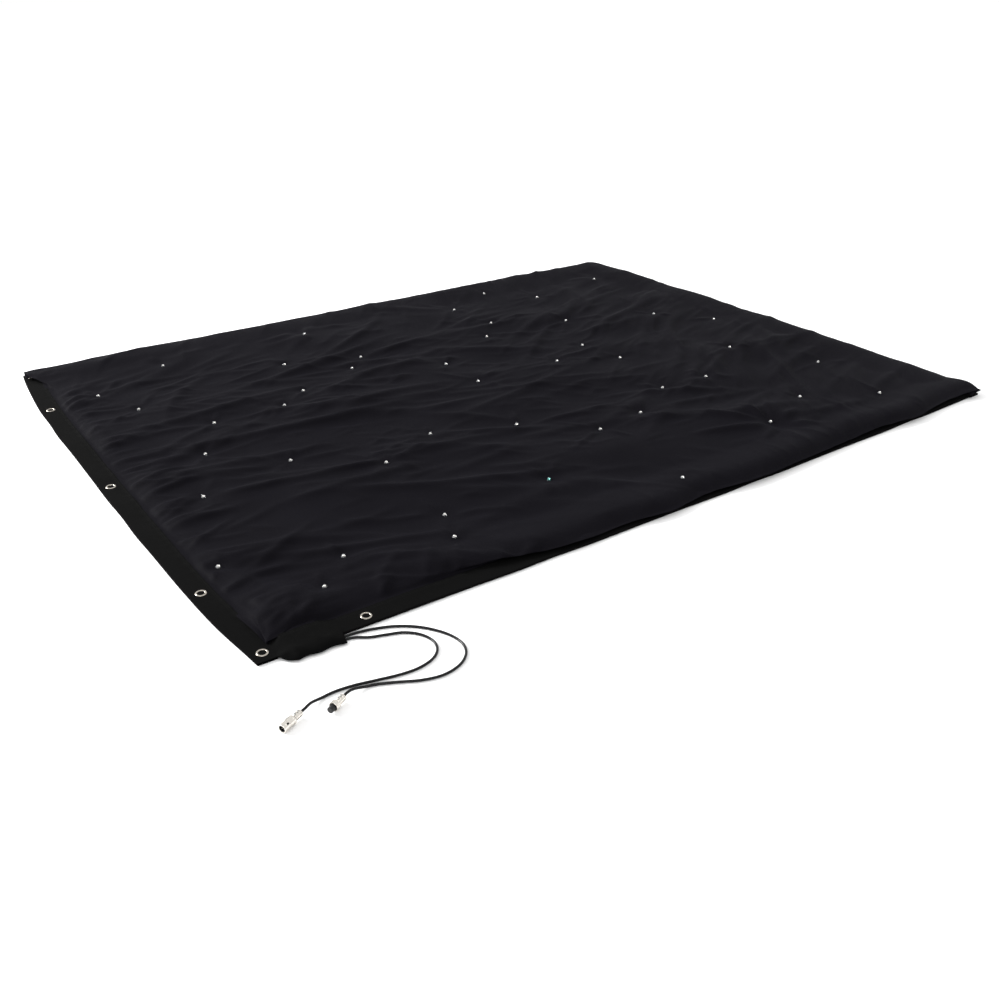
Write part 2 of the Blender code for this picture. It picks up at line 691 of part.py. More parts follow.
def make_junction_box(base_z):
    """Junction box: base, lid, board, terminal block, screws and glands."""
    make_junction_base(base_z)
    rim = base_z + BOX_HEIGHT
    lid_box = box_corners(BOX_LENGTH, BOX_WIDTH, rim + GAP, rim + GAP + LID_THICK)
    lid = add_object("junction_lid", boxes("junction_lid", [lid_box]), BLACK_PLASTIC)
    bores = [Matrix.Translation((x, y, rim)) for x, y in screw_places()]
    boolean(lid, add_cutter("lid_bores", cylinders("lid_bores", SCREW_RADIUS + GAP, BOX_HEIGHT, bores, 12)))
    board_z = base_z + BOX_WALL + RIB_HEIGHT + GAP
    board = box_corners(BOX_LENGTH - 6.0 * PILLAR_RADIUS, BOX_WIDTH - 8.0 * BOX_WALL,
                        board_z, board_z + BOARD_THICK)
    add_object("junction_board", boxes("junction_board", [board]), GREEN_BOARD)
    block_z = board_z + BOARD_THICK + GAP
    block = box_corners(BOX_LENGTH / 3.0, BOX_WIDTH / 5.0, block_z, rim - GAP)
    add_object("terminal_block", boxes("terminal_block", [block]), BLACK_PLASTIC)
    head_z = rim + GAP + LID_THICK + GAP
    for number, (x, y) in enumerate(screw_places(), 1):
        profile = (
            (0.0, head_z + SCREW_RADIUS),
            (SCREW_HEAD, head_z + SCREW_RADIUS),
            (SCREW_HEAD, head_z),
            (SCREW_RADIUS, head_z),
            (SCREW_RADIUS, rim - BOX_HEIGHT / 2.0 + GAP),
            (0.0, rim - BOX_HEIGHT / 2.0 + GAP),
        )
        screw = turned(f"lid_screw_{number}", profile, STEEL, sides=12)
        screw.location = (x, y, 0.0)
    make_gland("input_gland", INPUT_GLAND, base_z + BOX_HEIGHT / 2.0)
    make_gland("output_gland", OUTPUT_GLAND, base_z + BOX_HEIGHT / 2.0)


def make_gland(name, x, height):
    """Strain relief: a neck through the wall, a flange and a taper that meets the lead."""
    neck = gland_neck()
    profile = (
        (0.0, 2.0 * BOX_WALL),
        (neck, 2.0 * BOX_WALL),
        (neck, -GAP),
        (neck + 3.0 * GAP, -GAP),
        (neck + 3.0 * GAP, -BOX_WALL - GAP),
        (CORD_RADIUS + GAP, -GLAND_LENGTH),
        (0.0, -GLAND_LENGTH),
    )
    front_y = from_corner(*BOX_CENTRE)[1] - BOX_WIDTH / 2.0
    gland = turned(name, profile, BLACK_PLASTIC, sides=12)
    gland.location = (from_corner(x, 0.0)[0], front_y, height)
    gland.rotation_euler = (-math.pi / 2.0, 0.0, 0.0)


def lead_heights(points):
    """Centre heights of a lead: on the lining inside the edge, then down onto the floor."""
    inside = LINING_TOP + GAP + CORD_RADIUS
    outside = CORD_RADIUS + GAP
    front_y = on_cloth(EXIT_END, 0.0)[1]
    heights = []
    run = 0.0
    for before, point in zip([points[0], *points], points):
        heights.append(inside + (outside - inside) * ramp(run, 0.0, LEAD_FALL / 2.0))
        if point.y < front_y:
            run += (point - before).length
    return heights


def make_lead(name, gland_x, gland_z, route, rear, heading):
    """Lead from its gland to the rear face of its connector, lying on what is below it."""
    start_y = BOX_CENTRE[1] - BOX_WIDTH / 2.0 - GLAND_LENGTH - GAP
    axis = Vector((math.cos(heading), math.sin(heading), 0.0))
    end = Vector((*from_corner(*rear), 0.0)) - GAP * axis
    start = Vector((*from_corner(gland_x, start_y), 0.0))
    knots = [start, start - Vector((0.0, LEAD_STRAIGHT, 0.0))]
    knots += [Vector((*from_corner(x, y), 0.0)) for x, y in route]
    knots += [end - LEAD_STRAIGHT * axis, end]
    points = smooth_route(knots, 6.0 * CORD_RADIUS)
    heights = lead_heights(points)
    total = sum((after - before).length for before, after in zip(points, points[1:]))
    travelled = 0.0
    lifted = []
    for before, point, height in zip([points[0], *points], points, heights):
        travelled += (point - before).length
        from_gland = ramp(travelled, 0.0, LEAD_FALL_INSIDE)
        to_plug = ramp(travelled, total - LEAD_STRAIGHT - LEAD_FALL, LEAD_FALL)
        height += (gland_z - heights[0]) * (1.0 - from_gland)
        height += (AXIS_HEIGHT - heights[-1]) * to_plug
        lifted.append((point.x, point.y, height))
    add_object(name, tube_curve(name, lifted, CORD_RADIUS, 2), BLACK_JACKET)


def connector_empty(name, rear, heading):
    """Empty at a connector's rear face, with Z along the connector's axis and -X up."""
    empty = bpy.data.objects.new(name, None)
    PARTS.objects.link(empty)
    empty.location = (*from_corner(*rear), AXIS_HEIGHT)
    empty.rotation_euler = (0.0, math.pi / 2.0, heading)
    return empty


def make_clamp(prefix, parent, shell):
    """Cable clamp: half of the rear sleeve, held by two screws."""
    deep = 2.0 * REAR_RADIUS
    window = boxes(prefix + "_window", [((-deep, -deep, CLAMP_START), (0.0, deep, CLAMP_END))])
    boolean(shell, add_cutter(prefix + "_window", window, parent))
    sleeve = turned(prefix + "_clamp", (
        (REAR_BORE, CLAMP_END - GAP),
        (REAR_RADIUS, CLAMP_END - GAP),
        (REAR_RADIUS, CLAMP_START + GAP),
        (REAR_BORE, CLAMP_START + GAP),
    ), NICKEL, parent)
    lower = boxes(prefix + "_lower_half", [((-GAP, -deep, 0.0), (deep, deep, 2.0 * CLAMP_END))])
    boolean(sleeve, add_cutter(prefix + "_lower_half", lower, parent))
    upward = Matrix.Rotation(-math.pi / 2.0, 4, "Y")
    length = CLAMP_END - CLAMP_START
    heights = (CLAMP_START + 0.27 * length, CLAMP_START + 0.73 * length)
    bores = [Matrix.Translation((-REAR_RADIUS, 0.0, height)) @ upward for height in heights]
    cutter = cylinders(prefix + "_bores", SCREW_RADIUS + GAP, 4.0 * (REAR_RADIUS - REAR_BORE), bores, 12)
    boolean(sleeve, add_cutter(prefix + "_bores", cutter, parent))
    for number, height in enumerate(heights, 1):
        screw = turned(f"{prefix}_clamp_screw_{number}", (
            (0.0, SCREW_RADIUS + 2.0 * GAP),
            (1.5 * SCREW_RADIUS, SCREW_RADIUS + 2.0 * GAP),
            (1.5 * SCREW_RADIUS, GAP),
            (SCREW_RADIUS, GAP),
            (SCREW_RADIUS, CORD_RADIUS - REAR_RADIUS + 2.0 * GAP),
            (0.0, CORD_RADIUS - REAR_RADIUS + 2.0 * GAP),
        ), STEEL, parent, 10)
        screw.location = (-REAR_RADIUS, 0.0, height)
        screw.rotation_euler = (0.0, -math.pi / 2.0, 0.0)


def contact_places(height):
    """The four contacts, on a circle about the connector's axis."""
    return [Matrix.Rotation(math.pi / 4.0 + turn * math.pi / 2.0, 4, "Z")
            @ Matrix.Translation((PIN_CIRCLE, 0.0, height)) for turn in range(4)]


def make_input_plug(parent):
    """Input connector: a shell with a threaded mouth, an insert and four pins."""
    step = CLAMP_END + SHELL_STEP
    seat = step + SHELL_STEP
    mouth = INSERT_RADIUS + GAP
    shell = turned("input_shell", (
        (0.0, REAR_WALL),
        (REAR_BORE, REAR_WALL),
        (REAR_BORE, seat),
        (mouth, seat),
        (mouth, PLUG_LENGTH),
        (THREAD_RADIUS, PLUG_LENGTH),
        (THREAD_RADIUS, seat + SHELL_STEP),
        (BARREL_RADIUS, seat),
        (BARREL_RADIUS, step),
        (REAR_RADIUS, step - GAP),
        (REAR_RADIUS, 0.0),
        (0.0, 0.0),
    ), NICKEL, parent)
    make_clamp("input", parent, shell)
    face = PLUG_FACE + INSERT_LENGTH
    insert = turned("input_insert", (
        (0.0, face),
        (INSERT_RADIUS, face),
        (INSERT_RADIUS, PLUG_FACE),
        (0.0, PLUG_FACE),
    ), BLACK_PLASTIC, parent)
    depth = INSERT_LENGTH / 4.0
    sockets = cylinders("input_sockets", PIN_RADIUS + GAP, 2.0 * depth, contact_places(face), 10)
    boolean(insert, add_cutter("input_sockets", sockets, parent))
    tip = PLUG_LENGTH - 4.0 * PIN_RADIUS
    for number, matrix in enumerate(contact_places(0.0), 1):
        pin = turned(f"input_pin_{number}", (
            (0.0, tip),
            (PIN_RADIUS, tip - PIN_RADIUS),
            (PIN_RADIUS, face - depth + GAP),
            (0.0, face - depth + GAP),
        ), BRASS, parent, 8)
        pin.location = matrix.translation


def make_output_socket(parent):
    """Output connector: a shell, a keyed insert and a coupling ring that turns on the shell."""
    shoulder = RING_REAR + RING_LIP
    shell = turned("output_shell", (
        (0.0, REAR_WALL),
        (REAR_BORE, REAR_WALL),
        (REAR_BORE, SOCKET_LENGTH),
        (NECK_RADIUS, SOCKET_LENGTH),
        (NECK_RADIUS, shoulder + COLLAR_LENGTH),
        (COLLAR_RADIUS, shoulder + COLLAR_LENGTH),
        (COLLAR_RADIUS, shoulder),
        (NECK_RADIUS, shoulder),
        (NECK_RADIUS, CLAMP_END + COLLAR_LENGTH),
        (REAR_RADIUS, CLAMP_END + COLLAR_LENGTH),
        (REAR_RADIUS, 0.0),
        (0.0, 0.0),
    ), NICKEL, parent)
    make_clamp("output", parent, shell)
    mouth = RING_REAR + RING_LENGTH
    turned("coupling_ring", (
        (NECK_RADIUS + GAP, RING_REAR),
        (NECK_RADIUS + GAP, shoulder - GAP),
        (COLLAR_RADIUS + 2.0 * GAP, shoulder - GAP),
        (COLLAR_RADIUS + 2.0 * GAP, mouth),
        (RING_RADIUS - GAP, mouth),
        (RING_RADIUS, mouth - RING_EDGE),
        (RING_RADIUS, RING_REAR + RING_EDGE),
        (RING_RADIUS - GAP, RING_REAR),
    ), NICKEL, parent)
    face = SOCKET_LENGTH + INSERT_LENGTH
    insert = turned("output_insert", (
        (0.0, face),
        (INSERT_RADIUS - GAP, face),
        (INSERT_RADIUS, face - RING_EDGE),
        (INSERT_RADIUS, SOCKET_LENGTH + GAP),
        (REAR_BORE - GAP, SOCKET_LENGTH + GAP),
        (REAR_BORE - GAP, RING_REAR),
        (0.0, RING_REAR),
    ), BLACK_PLASTIC, parent)
    sockets = cylinders("output_sockets", PIN_RADIUS + GAP, INSERT_LENGTH, contact_places(face), 10)
    boolean(insert, add_cutter("output_sockets", sockets, parent))


def build():
    """Build the cloth, its edge, its lamps, its wiring, and its leads and connectors."""
    surface = cloth_surface()
    tree = BVHTree.FromBMesh(surface)
    frames = lamp_frames(tree)
    places = eyelet_places()
    holes = eyelet_cutter(places)
    make_front_cloth(surface, holes, frames)
    make_lining(holes)
    make_bands(holes)
    make_eyelets(places)
    make_strings(tree, frames)
    make_bus_cable(frames)
    box_base = LINING_TOP + GAP
    make_junction_box(box_base)
    gland_z = box_base + BOX_HEIGHT / 2.0
    make_lead("input_lead", INPUT_GLAND, gland_z, INPUT_ROUTE, INPUT_REAR, INPUT_HEADING)
    make_lead("output_lead", OUTPUT_GLAND, gland_z, OUTPUT_ROUTE, OUTPUT_REAR, OUTPUT_HEADING)
    make_input_plug(connector_empty("input_connector", INPUT_REAR, INPUT_HEADING))
    make_output_socket(connector_empty("output_connector", OUTPUT_REAR, OUTPUT_HEADING))


for old in list(bpy.data.objects):
    bpy.data.objects.remove(old)
PARTS = new_collection("led_star_cloth")
CUTTERS = new_collection("cutters")
build()
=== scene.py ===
"""Looks of an LED star cloth: a black backdrop cloth with point lamps, laid flat on a floor.

Every piece is worked out with numpy: the front cloth with the folds that its spare width falls
into, the folded and stitched bands, the lining, the set eyelets, the lamps on their strings, the
two leads and the two round connectors. Units are metres, in the frame of the
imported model: +X along the long side, +Y from the front edge to the back edge, +Z up, with the
origin on the floor under the middle of the cloth.
"""

import logging
import math
from dataclasses import dataclass, field
from enum import Enum

import bpy
import numpy as np
from mathutils import Matrix, Vector
from mathutils.bvhtree import BVHTree


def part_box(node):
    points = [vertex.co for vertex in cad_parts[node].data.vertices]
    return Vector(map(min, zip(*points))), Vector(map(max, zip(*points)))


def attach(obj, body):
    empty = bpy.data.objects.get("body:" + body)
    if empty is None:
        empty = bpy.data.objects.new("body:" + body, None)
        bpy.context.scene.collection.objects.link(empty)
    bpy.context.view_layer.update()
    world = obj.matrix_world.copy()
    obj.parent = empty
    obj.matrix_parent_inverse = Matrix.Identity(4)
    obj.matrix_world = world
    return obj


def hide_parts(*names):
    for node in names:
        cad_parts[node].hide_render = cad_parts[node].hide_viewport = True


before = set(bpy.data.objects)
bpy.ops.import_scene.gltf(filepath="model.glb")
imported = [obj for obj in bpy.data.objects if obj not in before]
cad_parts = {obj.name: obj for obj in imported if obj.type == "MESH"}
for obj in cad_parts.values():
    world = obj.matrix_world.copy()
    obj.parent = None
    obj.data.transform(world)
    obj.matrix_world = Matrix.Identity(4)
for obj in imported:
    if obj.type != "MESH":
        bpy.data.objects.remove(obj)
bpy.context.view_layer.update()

LOG = logging.getLogger("star_cloth")
MM = 0.001
GAP = 0.3 * MM
# Scale of the wave texture that gives about one band a metre
WAVE_SCALE = 0.31831
CLOTH_BODY = "cloth"
RING_BODY = "coupling_ring"

Array = np.ndarray
Node = bpy.types.ShaderNode
Socket = bpy.types.NodeSocket


# ---------------------------------------------------------------- materials


def linear(code: str) -> tuple[float, float, float, float]:
    """Turn an sRGB colour into linear light.

    Args:
        code: the colour as six hex digits.

    Returns:
        Red, green, blue and an alpha of 1.
    """
    parts = [int(code[at:at + 2], 16) / 255.0 for at in (0, 2, 4)]
    light = [part / 12.92 if part <= 0.04045 else ((part + 0.055) / 1.055) ** 2.4 for part in parts]
    return light[0], light[1], light[2], 1.0


def add_node(tree: bpy.types.NodeTree, kind: str, sockets: dict | None = None, **settings: object) -> Node:
    """Add a shader node, set it up and fill its sockets.

    Args:
        tree: the node tree.
        kind: the node's type.
        sockets: for each input, by name or number, a value or the output that it is linked to.
        settings: properties of the node.

    Returns:
        The node.
    """
    node = tree.nodes.new(kind)
    for name, value in settings.items():
        setattr(node, name, value)
    for name, value in (sockets or {}).items():
        if isinstance(value, Socket):
            tree.links.new(value, node.inputs[name])
        else:
            node.inputs[name].default_value = value
    return node


class Coordinates(Enum):
    """Where a pattern takes its places from."""

    OBJECT = "Object"
    SURFACE = "UV"


@dataclass(frozen=True)
class Finish:
    """What every finish has: a name, a base colour and how it takes light."""

    name: str
    colour: str
    roughness: float
    metallic: float = 0.0
    coordinates: Coordinates = Coordinates.OBJECT

    def material(self) -> bpy.types.Material:
        """Make the material once and return it.

        Returns:
            The material.
        """
        found = bpy.data.materials.get(self.name)
        if found is not None:
            return found
        material = bpy.data.materials.new(self.name)
        material.use_nodes = True
        tree = material.node_tree
        shader = tree.nodes["Principled BSDF"]
        shader.inputs["Base Color"].default_value = linear(self.colour)
        shader.inputs["Roughness"].default_value = self.roughness
        shader.inputs["Metallic"].default_value = self.metallic
        place = tree.nodes.new("ShaderNodeTexCoord").outputs[self.coordinates.value]
        self.detail(tree, shader, place)
        return material

    def detail(self, tree: bpy.types.NodeTree, shader: Node, place: Socket) -> None:
        """Add the finish's own pattern.

        Args:
            tree: the node tree.
            shader: the Principled shader.
            place: the coordinates of the pattern, in metres.
        """
        raise NotImplementedError

    def mottled(self, tree: bpy.types.NodeTree, shader: Node, place: Socket, size: float, other: str,
                swing: float) -> None:
        """Vary the colour and the roughness softly over the surface.

        Args:
            tree: the node tree.
            shader: the Principled shader.
            place: the coordinates.
            size: width of a patch in metres.
            other: the second colour.
            swing: how far the roughness moves to either side.
        """
        noise = add_node(tree, "ShaderNodeTexNoise", {"Vector": place, "Scale": 1.0 / size, "Detail": 4.0})
        mix = add_node(tree, "ShaderNodeMix", {"Factor": noise.outputs["Fac"], 6: linear(self.colour),
                                               7: linear(other)}, data_type="RGBA")
        spread = add_node(tree, "ShaderNodeMapRange", {"Value": noise.outputs["Fac"], "From Min": 0.3,
                                                       "From Max": 0.7, "To Min": self.roughness - swing,
                                                       "To Max": self.roughness + swing})
        tree.links.new(mix.outputs[2], shader.inputs["Base Color"])
        tree.links.new(spread.outputs["Result"], shader.inputs["Roughness"])

    @staticmethod
    def grained(tree: bpy.types.NodeTree, shader: Node, place: Socket, size: float, depth: float) -> None:
        """Give the surface a fine unevenness.

        Args:
            tree: the node tree.
            shader: the Principled shader.
            place: the coordinates.
            size: width of a grain in metres.
            depth: its depth in metres.
        """
        noise = add_node(tree, "ShaderNodeTexNoise", {"Vector": place, "Scale": 1.0 / size, "Detail": 2.0})
        bumped(tree, shader, noise.outputs["Fac"], depth)


def bumped(tree: bpy.types.NodeTree, shader: Node, height: Socket, depth: float,
           below: Socket | None = None) -> Socket:
    """Turn a height into a bump on the shader.

    Args:
        tree: the node tree.
        shader: the Principled shader.
        height: the height, from 0 to 1.
        depth: what a height of 1 is in metres.
        below: normal of a coarser bump under this one.

    Returns:
        The bump's normal.
    """
    sockets = {"Height": height, "Distance": depth, "Strength": 1.0}
    if below is not None:
        sockets["Normal"] = below
    bump = add_node(tree, "ShaderNodeBump", sockets)
    tree.links.new(bump.outputs["Normal"], shader.inputs["Normal"])
    return bump.outputs["Normal"]


@dataclass(frozen=True)
class Woven(Finish):
    """Woven cloth: crossing threads as a fine bump, slubs along the weft, and a soft nap that
    lifts the colour at a low angle. The threads are drawn a few times coarser than they are, so
    that they show."""

    thread: float = 0.9 * MM
    depth: float = 0.10 * MM
    sheen: float = 0.3
    sheen_colour: str = "8f8fa8"
    second: str = "141418"

    def detail(self, tree: bpy.types.NodeTree, shader: Node, place: Socket) -> None:
        """Add slubs, threads and nap.

        Args:
            tree: the node tree.
            shader: the Principled shader.
            place: the coordinates.
        """
        shader.inputs["Specular IOR Level"].default_value = 0.012
        shader.inputs["Sheen Weight"].default_value = self.sheen
        shader.inputs["Sheen Roughness"].default_value = 0.45
        shader.inputs["Sheen Tint"].default_value = linear(self.sheen_colour)
        self.mottled(tree, shader, place, 0.12, self.second, 0.05)
        drawn = add_node(tree, "ShaderNodeMapping", {"Vector": place, "Scale": (1.0, 12.0, 1.0)})
        slubs = add_node(tree, "ShaderNodeTexNoise", {"Vector": drawn.outputs["Vector"], "Scale": 45.0,
                                                      "Detail": 3.0})
        coarse = bumped(tree, shader, slubs.outputs["Fac"], 2.0 * self.depth)
        waves = [add_node(tree, "ShaderNodeTexWave", {"Vector": place, "Scale": WAVE_SCALE / self.thread,
                                                      "Distortion": 0.4, "Detail": 1.0},
                          bands_direction=axis).outputs["Fac"] for axis in ("X", "Y")]
        weave = add_node(tree, "ShaderNodeMath", {0: waves[0], 1: waves[1]}, operation="MULTIPLY")
        bumped(tree, shader, weave.outputs["Value"], self.depth, coarse)


@dataclass(frozen=True)
class PlatedNickel(Finish):
    """Nickel plate on turned brass: bright, slightly warm, with fine turning marks and dull spots."""

    second: str = "a49f96"

    def detail(self, tree: bpy.types.NodeTree, shader: Node, place: Socket) -> None:
        """Add dull spots and a faint unevenness."""
        self.mottled(tree, shader, place, 2.5 * MM, self.second, 0.08)
        self.grained(tree, shader, place, 0.4 * MM, 0.01 * MM)


@dataclass(frozen=True)
class Moulded(Finish):
    """Moulded plastic or rubber: a fine grain that breaks up the highlight, and a light bloom."""

    grain: float = 0.35 * MM
    depth: float = 0.02 * MM
    second: str = "202022"
    gloss: float = 0.5

    def detail(self, tree: bpy.types.NodeTree, shader: Node, place: Socket) -> None:
        """Add the bloom and the grain.

        Args:
            tree: the node tree.
            shader: the Principled shader.
            place: the coordinates.
        """
        shader.inputs["Specular IOR Level"].default_value = self.gloss
        self.mottled(tree, shader, place, 9.0 * MM, self.second, 0.06)
        self.grained(tree, shader, place, self.grain, self.depth)


@dataclass(frozen=True)
class ClearEpoxy(Finish):
    """Cast epoxy of a lamp: clear, smooth, with a faint ripple."""

    def detail(self, tree: bpy.types.NodeTree, shader: Node, place: Socket) -> None:
        """Let light through and add the ripple.

        Args:
            tree: the node tree.
            shader: the Principled shader.
            place: the coordinates.
        """
        shader.inputs["Transmission Weight"].default_value = 0.85
        shader.inputs["IOR"].default_value = 1.52
        self.grained(tree, shader, place, 1.5 * MM, 0.02 * MM)


@dataclass(frozen=True)
class CircuitBoard(Finish):
    """Green solder mask over copper tracks, which show as paler lines."""

    second: str = "1f7a45"

    def detail(self, tree: bpy.types.NodeTree, shader: Node, place: Socket) -> None:
        """Add the tracks as raised lines.

        Args:
            tree: the node tree.
            shader: the Principled shader.
            place: the coordinates.
        """
        self.mottled(tree, shader, place, 6.0 * MM, self.second, 0.08)
        tracks = add_node(tree, "ShaderNodeTexBrick", {"Vector": place, "Scale": 1.0 / (3.0 * MM),
                                                       "Mortar Size": 0.06})
        bumped(tree, shader, tracks.outputs["Fac"], 0.03 * MM)


FRONT_WEAVE = Woven("front_weave", "0e0d11", 0.62, coordinates=Coordinates.SURFACE, sheen=0.012,
                    second="0c0b0e")
LINING_WEAVE = Woven("lining_weave", "0f0f11", 0.75, sheen=0.02, sheen_colour="7a7a84", second="0c0c0e")
BAND_WEAVE = Woven("band_webbing", "0a0a0a", 0.80, coordinates=Coordinates.SURFACE, thread=1.2 * MM,
                   depth=0.14 * MM, sheen=0.02, sheen_colour="80807c", second="090909")
THREAD = Moulded("sewing_thread", "111111", 0.7, second="161616", gloss=0.05)
NICKEL = PlatedNickel("nickel_plate", "efebe4", 0.16, 1.0, second="c9c3ba")
ROLLED_NICKEL = PlatedNickel("rolled_nickel", "c8c2b8", 0.22, 1.0, second="9c958b")
# Painted shade: a dark finish laid in hollows where shade falls, on the eyelets' bores, the output sockets,
# the coupling ring's inside and the input's key window
PAINTED_SHADE_HOLLOW = PlatedNickel("painted_shade_hollow", "1a1512", 0.45, 0.3, second="0e0b0a")
SILVER = PlatedNickel("silvered_pin", "f2efe8", 0.18, 1.0, second="d8d2c6")
STEEL = PlatedNickel("zinc_steel", "b9bab9", 0.30, 1.0, second="8c8d8c")
JACKET = Moulded("cable_jacket", "08080a", 0.30, second="0d0d0f", gloss=0.22)
SLEEVE = Moulded("shrink_sleeve", "121213", 0.50, second="1a1a1b")
RUBBER = Moulded("gland_rubber", "151516", 0.60, second="1c1c1d")
TERMINAL = Moulded("terminal_nylon", "1c2a26", 0.40, second="26352f")
BLACK_PLASTIC = Moulded("moulded_black", "0e0e10", 0.42, second="151517", gloss=0.35)
LENS = ClearEpoxy("lamp_epoxy", "f4f6f8", 0.06)
TEAL_LENS = ClearEpoxy("lamp_epoxy_teal", "7fd6cf", 0.06)
BOARD = CircuitBoard("solder_mask", "155c34", 0.35)


# ---------------------------------------------------------------- shapes


@dataclass
class Shape:
    """Points with the faces over them, before they become a mesh.

    Attributes:
        points: places, one a row.
        faces: lists of point numbers, each list of one kind of face, one face a row.
        surface: two numbers a point, in metres along the surface, or None.
    """

    points: Array
    faces: list[Array]
    surface: Array | None = None

    def moved(self, matrix: Matrix) -> "Shape":
        """Return the shape carried by a matrix."""
        table = np.array(matrix)
        return Shape(self.points @ table[:3, :3].T + table[:3, 3], self.faces, self.surface)


def grid(rows: int, columns: int, wrap_rows: bool = False, wrap_columns: bool = False) -> Array:
    """Quads over a grid of points stored row after row.

    Args:
        rows: number of rows.
        columns: number of columns.
        wrap_rows: join the last row to the first.
        wrap_columns: join the last column to the first.

    Returns:
        Four point numbers a face. Seen with rows to the right and columns up, they face the eye.
    """
    row = np.arange(rows if wrap_rows else rows - 1)[:, None]
    column = np.arange(columns if wrap_columns else columns - 1)[None, :]
    next_row = (row + 1) % rows
    next_column = (column + 1) % columns
    corners = (row * columns + column, next_row * columns + column,
               next_row * columns + next_column, row * columns + next_column)
    spread = [np.broadcast_to(corner, (row.size, column.size)) for corner in corners]
    return np.stack(spread, -1).reshape(-1, 4)


def capped(shape: Shape, count: int, first: Array, last: Array) -> Shape:
    """Close both ends of a tube with a fan of triangles round a point of their own.

    Args:
        shape: the open tube, whose points are rings stored one after another.
        count: points in a ring.
        first: the point that closes the first ring.
        last: the point that closes the last ring.

    Returns:
        The closed shape.
    """
    total = len(shape.points)
    around = np.arange(count)
    after = (around + 1) % count
    end = total - count
    fans = [np.stack([np.full(count, total), around, after], -1),
            np.stack([end + after, end + around, np.full(count, total + 1)], -1)]
    surface = shape.surface
    if surface is not None:
        surface = np.vstack([surface, surface[:1], surface[-1:]])
    return Shape(np.vstack([shape.points, first, last]), shape.faces + fans, surface)


def lathe(profile: Array, sides: int, breaks: tuple[int, ...] = ()) -> Shape:
    """Turn a profile about Z.

    The point at angle a from profile row (r, z) is (r cos a, r sin a, z). A profile that starts
    and ends on the axis makes a closed solid; any other one is taken as a loop.

    Args:
        profile: radius and height, one pair a row, down the outer side.
        sides: number of steps round the axis.
        breaks: profile rows at which another list of faces, for another finish, starts.

    Returns:
        The turned shape.
    """
    angles = np.arange(sides) * 2.0 * np.pi / sides
    closed = profile[0, 0] < 1e-9 and profile[-1, 0] < 1e-9
    body = profile[1:-1] if closed else profile
    rings = np.stack([body[:, :1] * np.cos(angles), body[:, :1] * np.sin(angles),
                      np.repeat(body[:, 1:], sides, 1)], -1)
    faces = np.split(grid(len(body), sides, wrap_rows=not closed, wrap_columns=True),
                     [row * sides for row in breaks])
    shape = Shape(rings.reshape(-1, 3), faces)
    if closed:
        ends = [np.array([0.0, 0.0, profile[row, 1]]) for row in (0, -1)]
        shape = capped(shape, sides, *ends)
    return shape


def sweep(path: Array, section: Array) -> Shape:
    """Carry a closed section along a path that lies roughly level.

    At each path point the section's first number goes sideways, along up x tangent, and its
    second one along tangent x sideways. The surface place is the distance round and along.

    Args:
        path: places along the path.
        section: closed outline, anticlockwise seen along the path backwards.

    Returns:
        The swept shape, with both ends closed.
    """
    tangent = np.gradient(path, axis=0)
    tangent /= np.linalg.norm(tangent, axis=1, keepdims=True)
    side = np.cross([0.0, 0.0, 1.0], tangent)
    side /= np.linalg.norm(side, axis=1, keepdims=True)
    over = np.cross(tangent, side)
    points = path[:, None] + section[None, :, :1] * side[:, None] + section[None, :, 1:] * over[:, None]
    count = len(section)
    along = np.concatenate([[0.0], np.cumsum(np.linalg.norm(np.diff(path, axis=0), axis=1))])
    round_ = np.concatenate([[0.0], np.cumsum(np.linalg.norm(np.diff(section, axis=0), axis=1))])
    surface = np.stack(np.broadcast_arrays(round_[None, :], along[:, None]), -1).reshape(-1, 2)
    tube = Shape(points.reshape(-1, 3), [grid(len(path), count, wrap_columns=True)], surface)
    return capped(tube, count, path[0], path[-1])


def joined(shapes: list[Shape]) -> Shape:
    """Put shapes together as one, each still a body of its own.

    Args:
        shapes: the shapes, in order.

    Returns:
        One shape that holds them all.
    """
    offsets = np.cumsum([0] + [len(shape.points) for shape in shapes])
    faces = [part + offset for shape, offset in zip(shapes, offsets) for part in shape.faces]
    surfaces = [shape.surface if shape.surface is not None else np.zeros((len(shape.points), 2))
                for shape in shapes]
    return Shape(np.vstack([shape.points for shape in shapes]), faces, np.vstack(surfaces))


def circle(radius: float, sides: int) -> Array:
    """Outline of a circle, anticlockwise."""
    angles = np.arange(sides) * 2.0 * np.pi / sides
    return radius * np.stack([np.cos(angles), np.sin(angles)], -1)


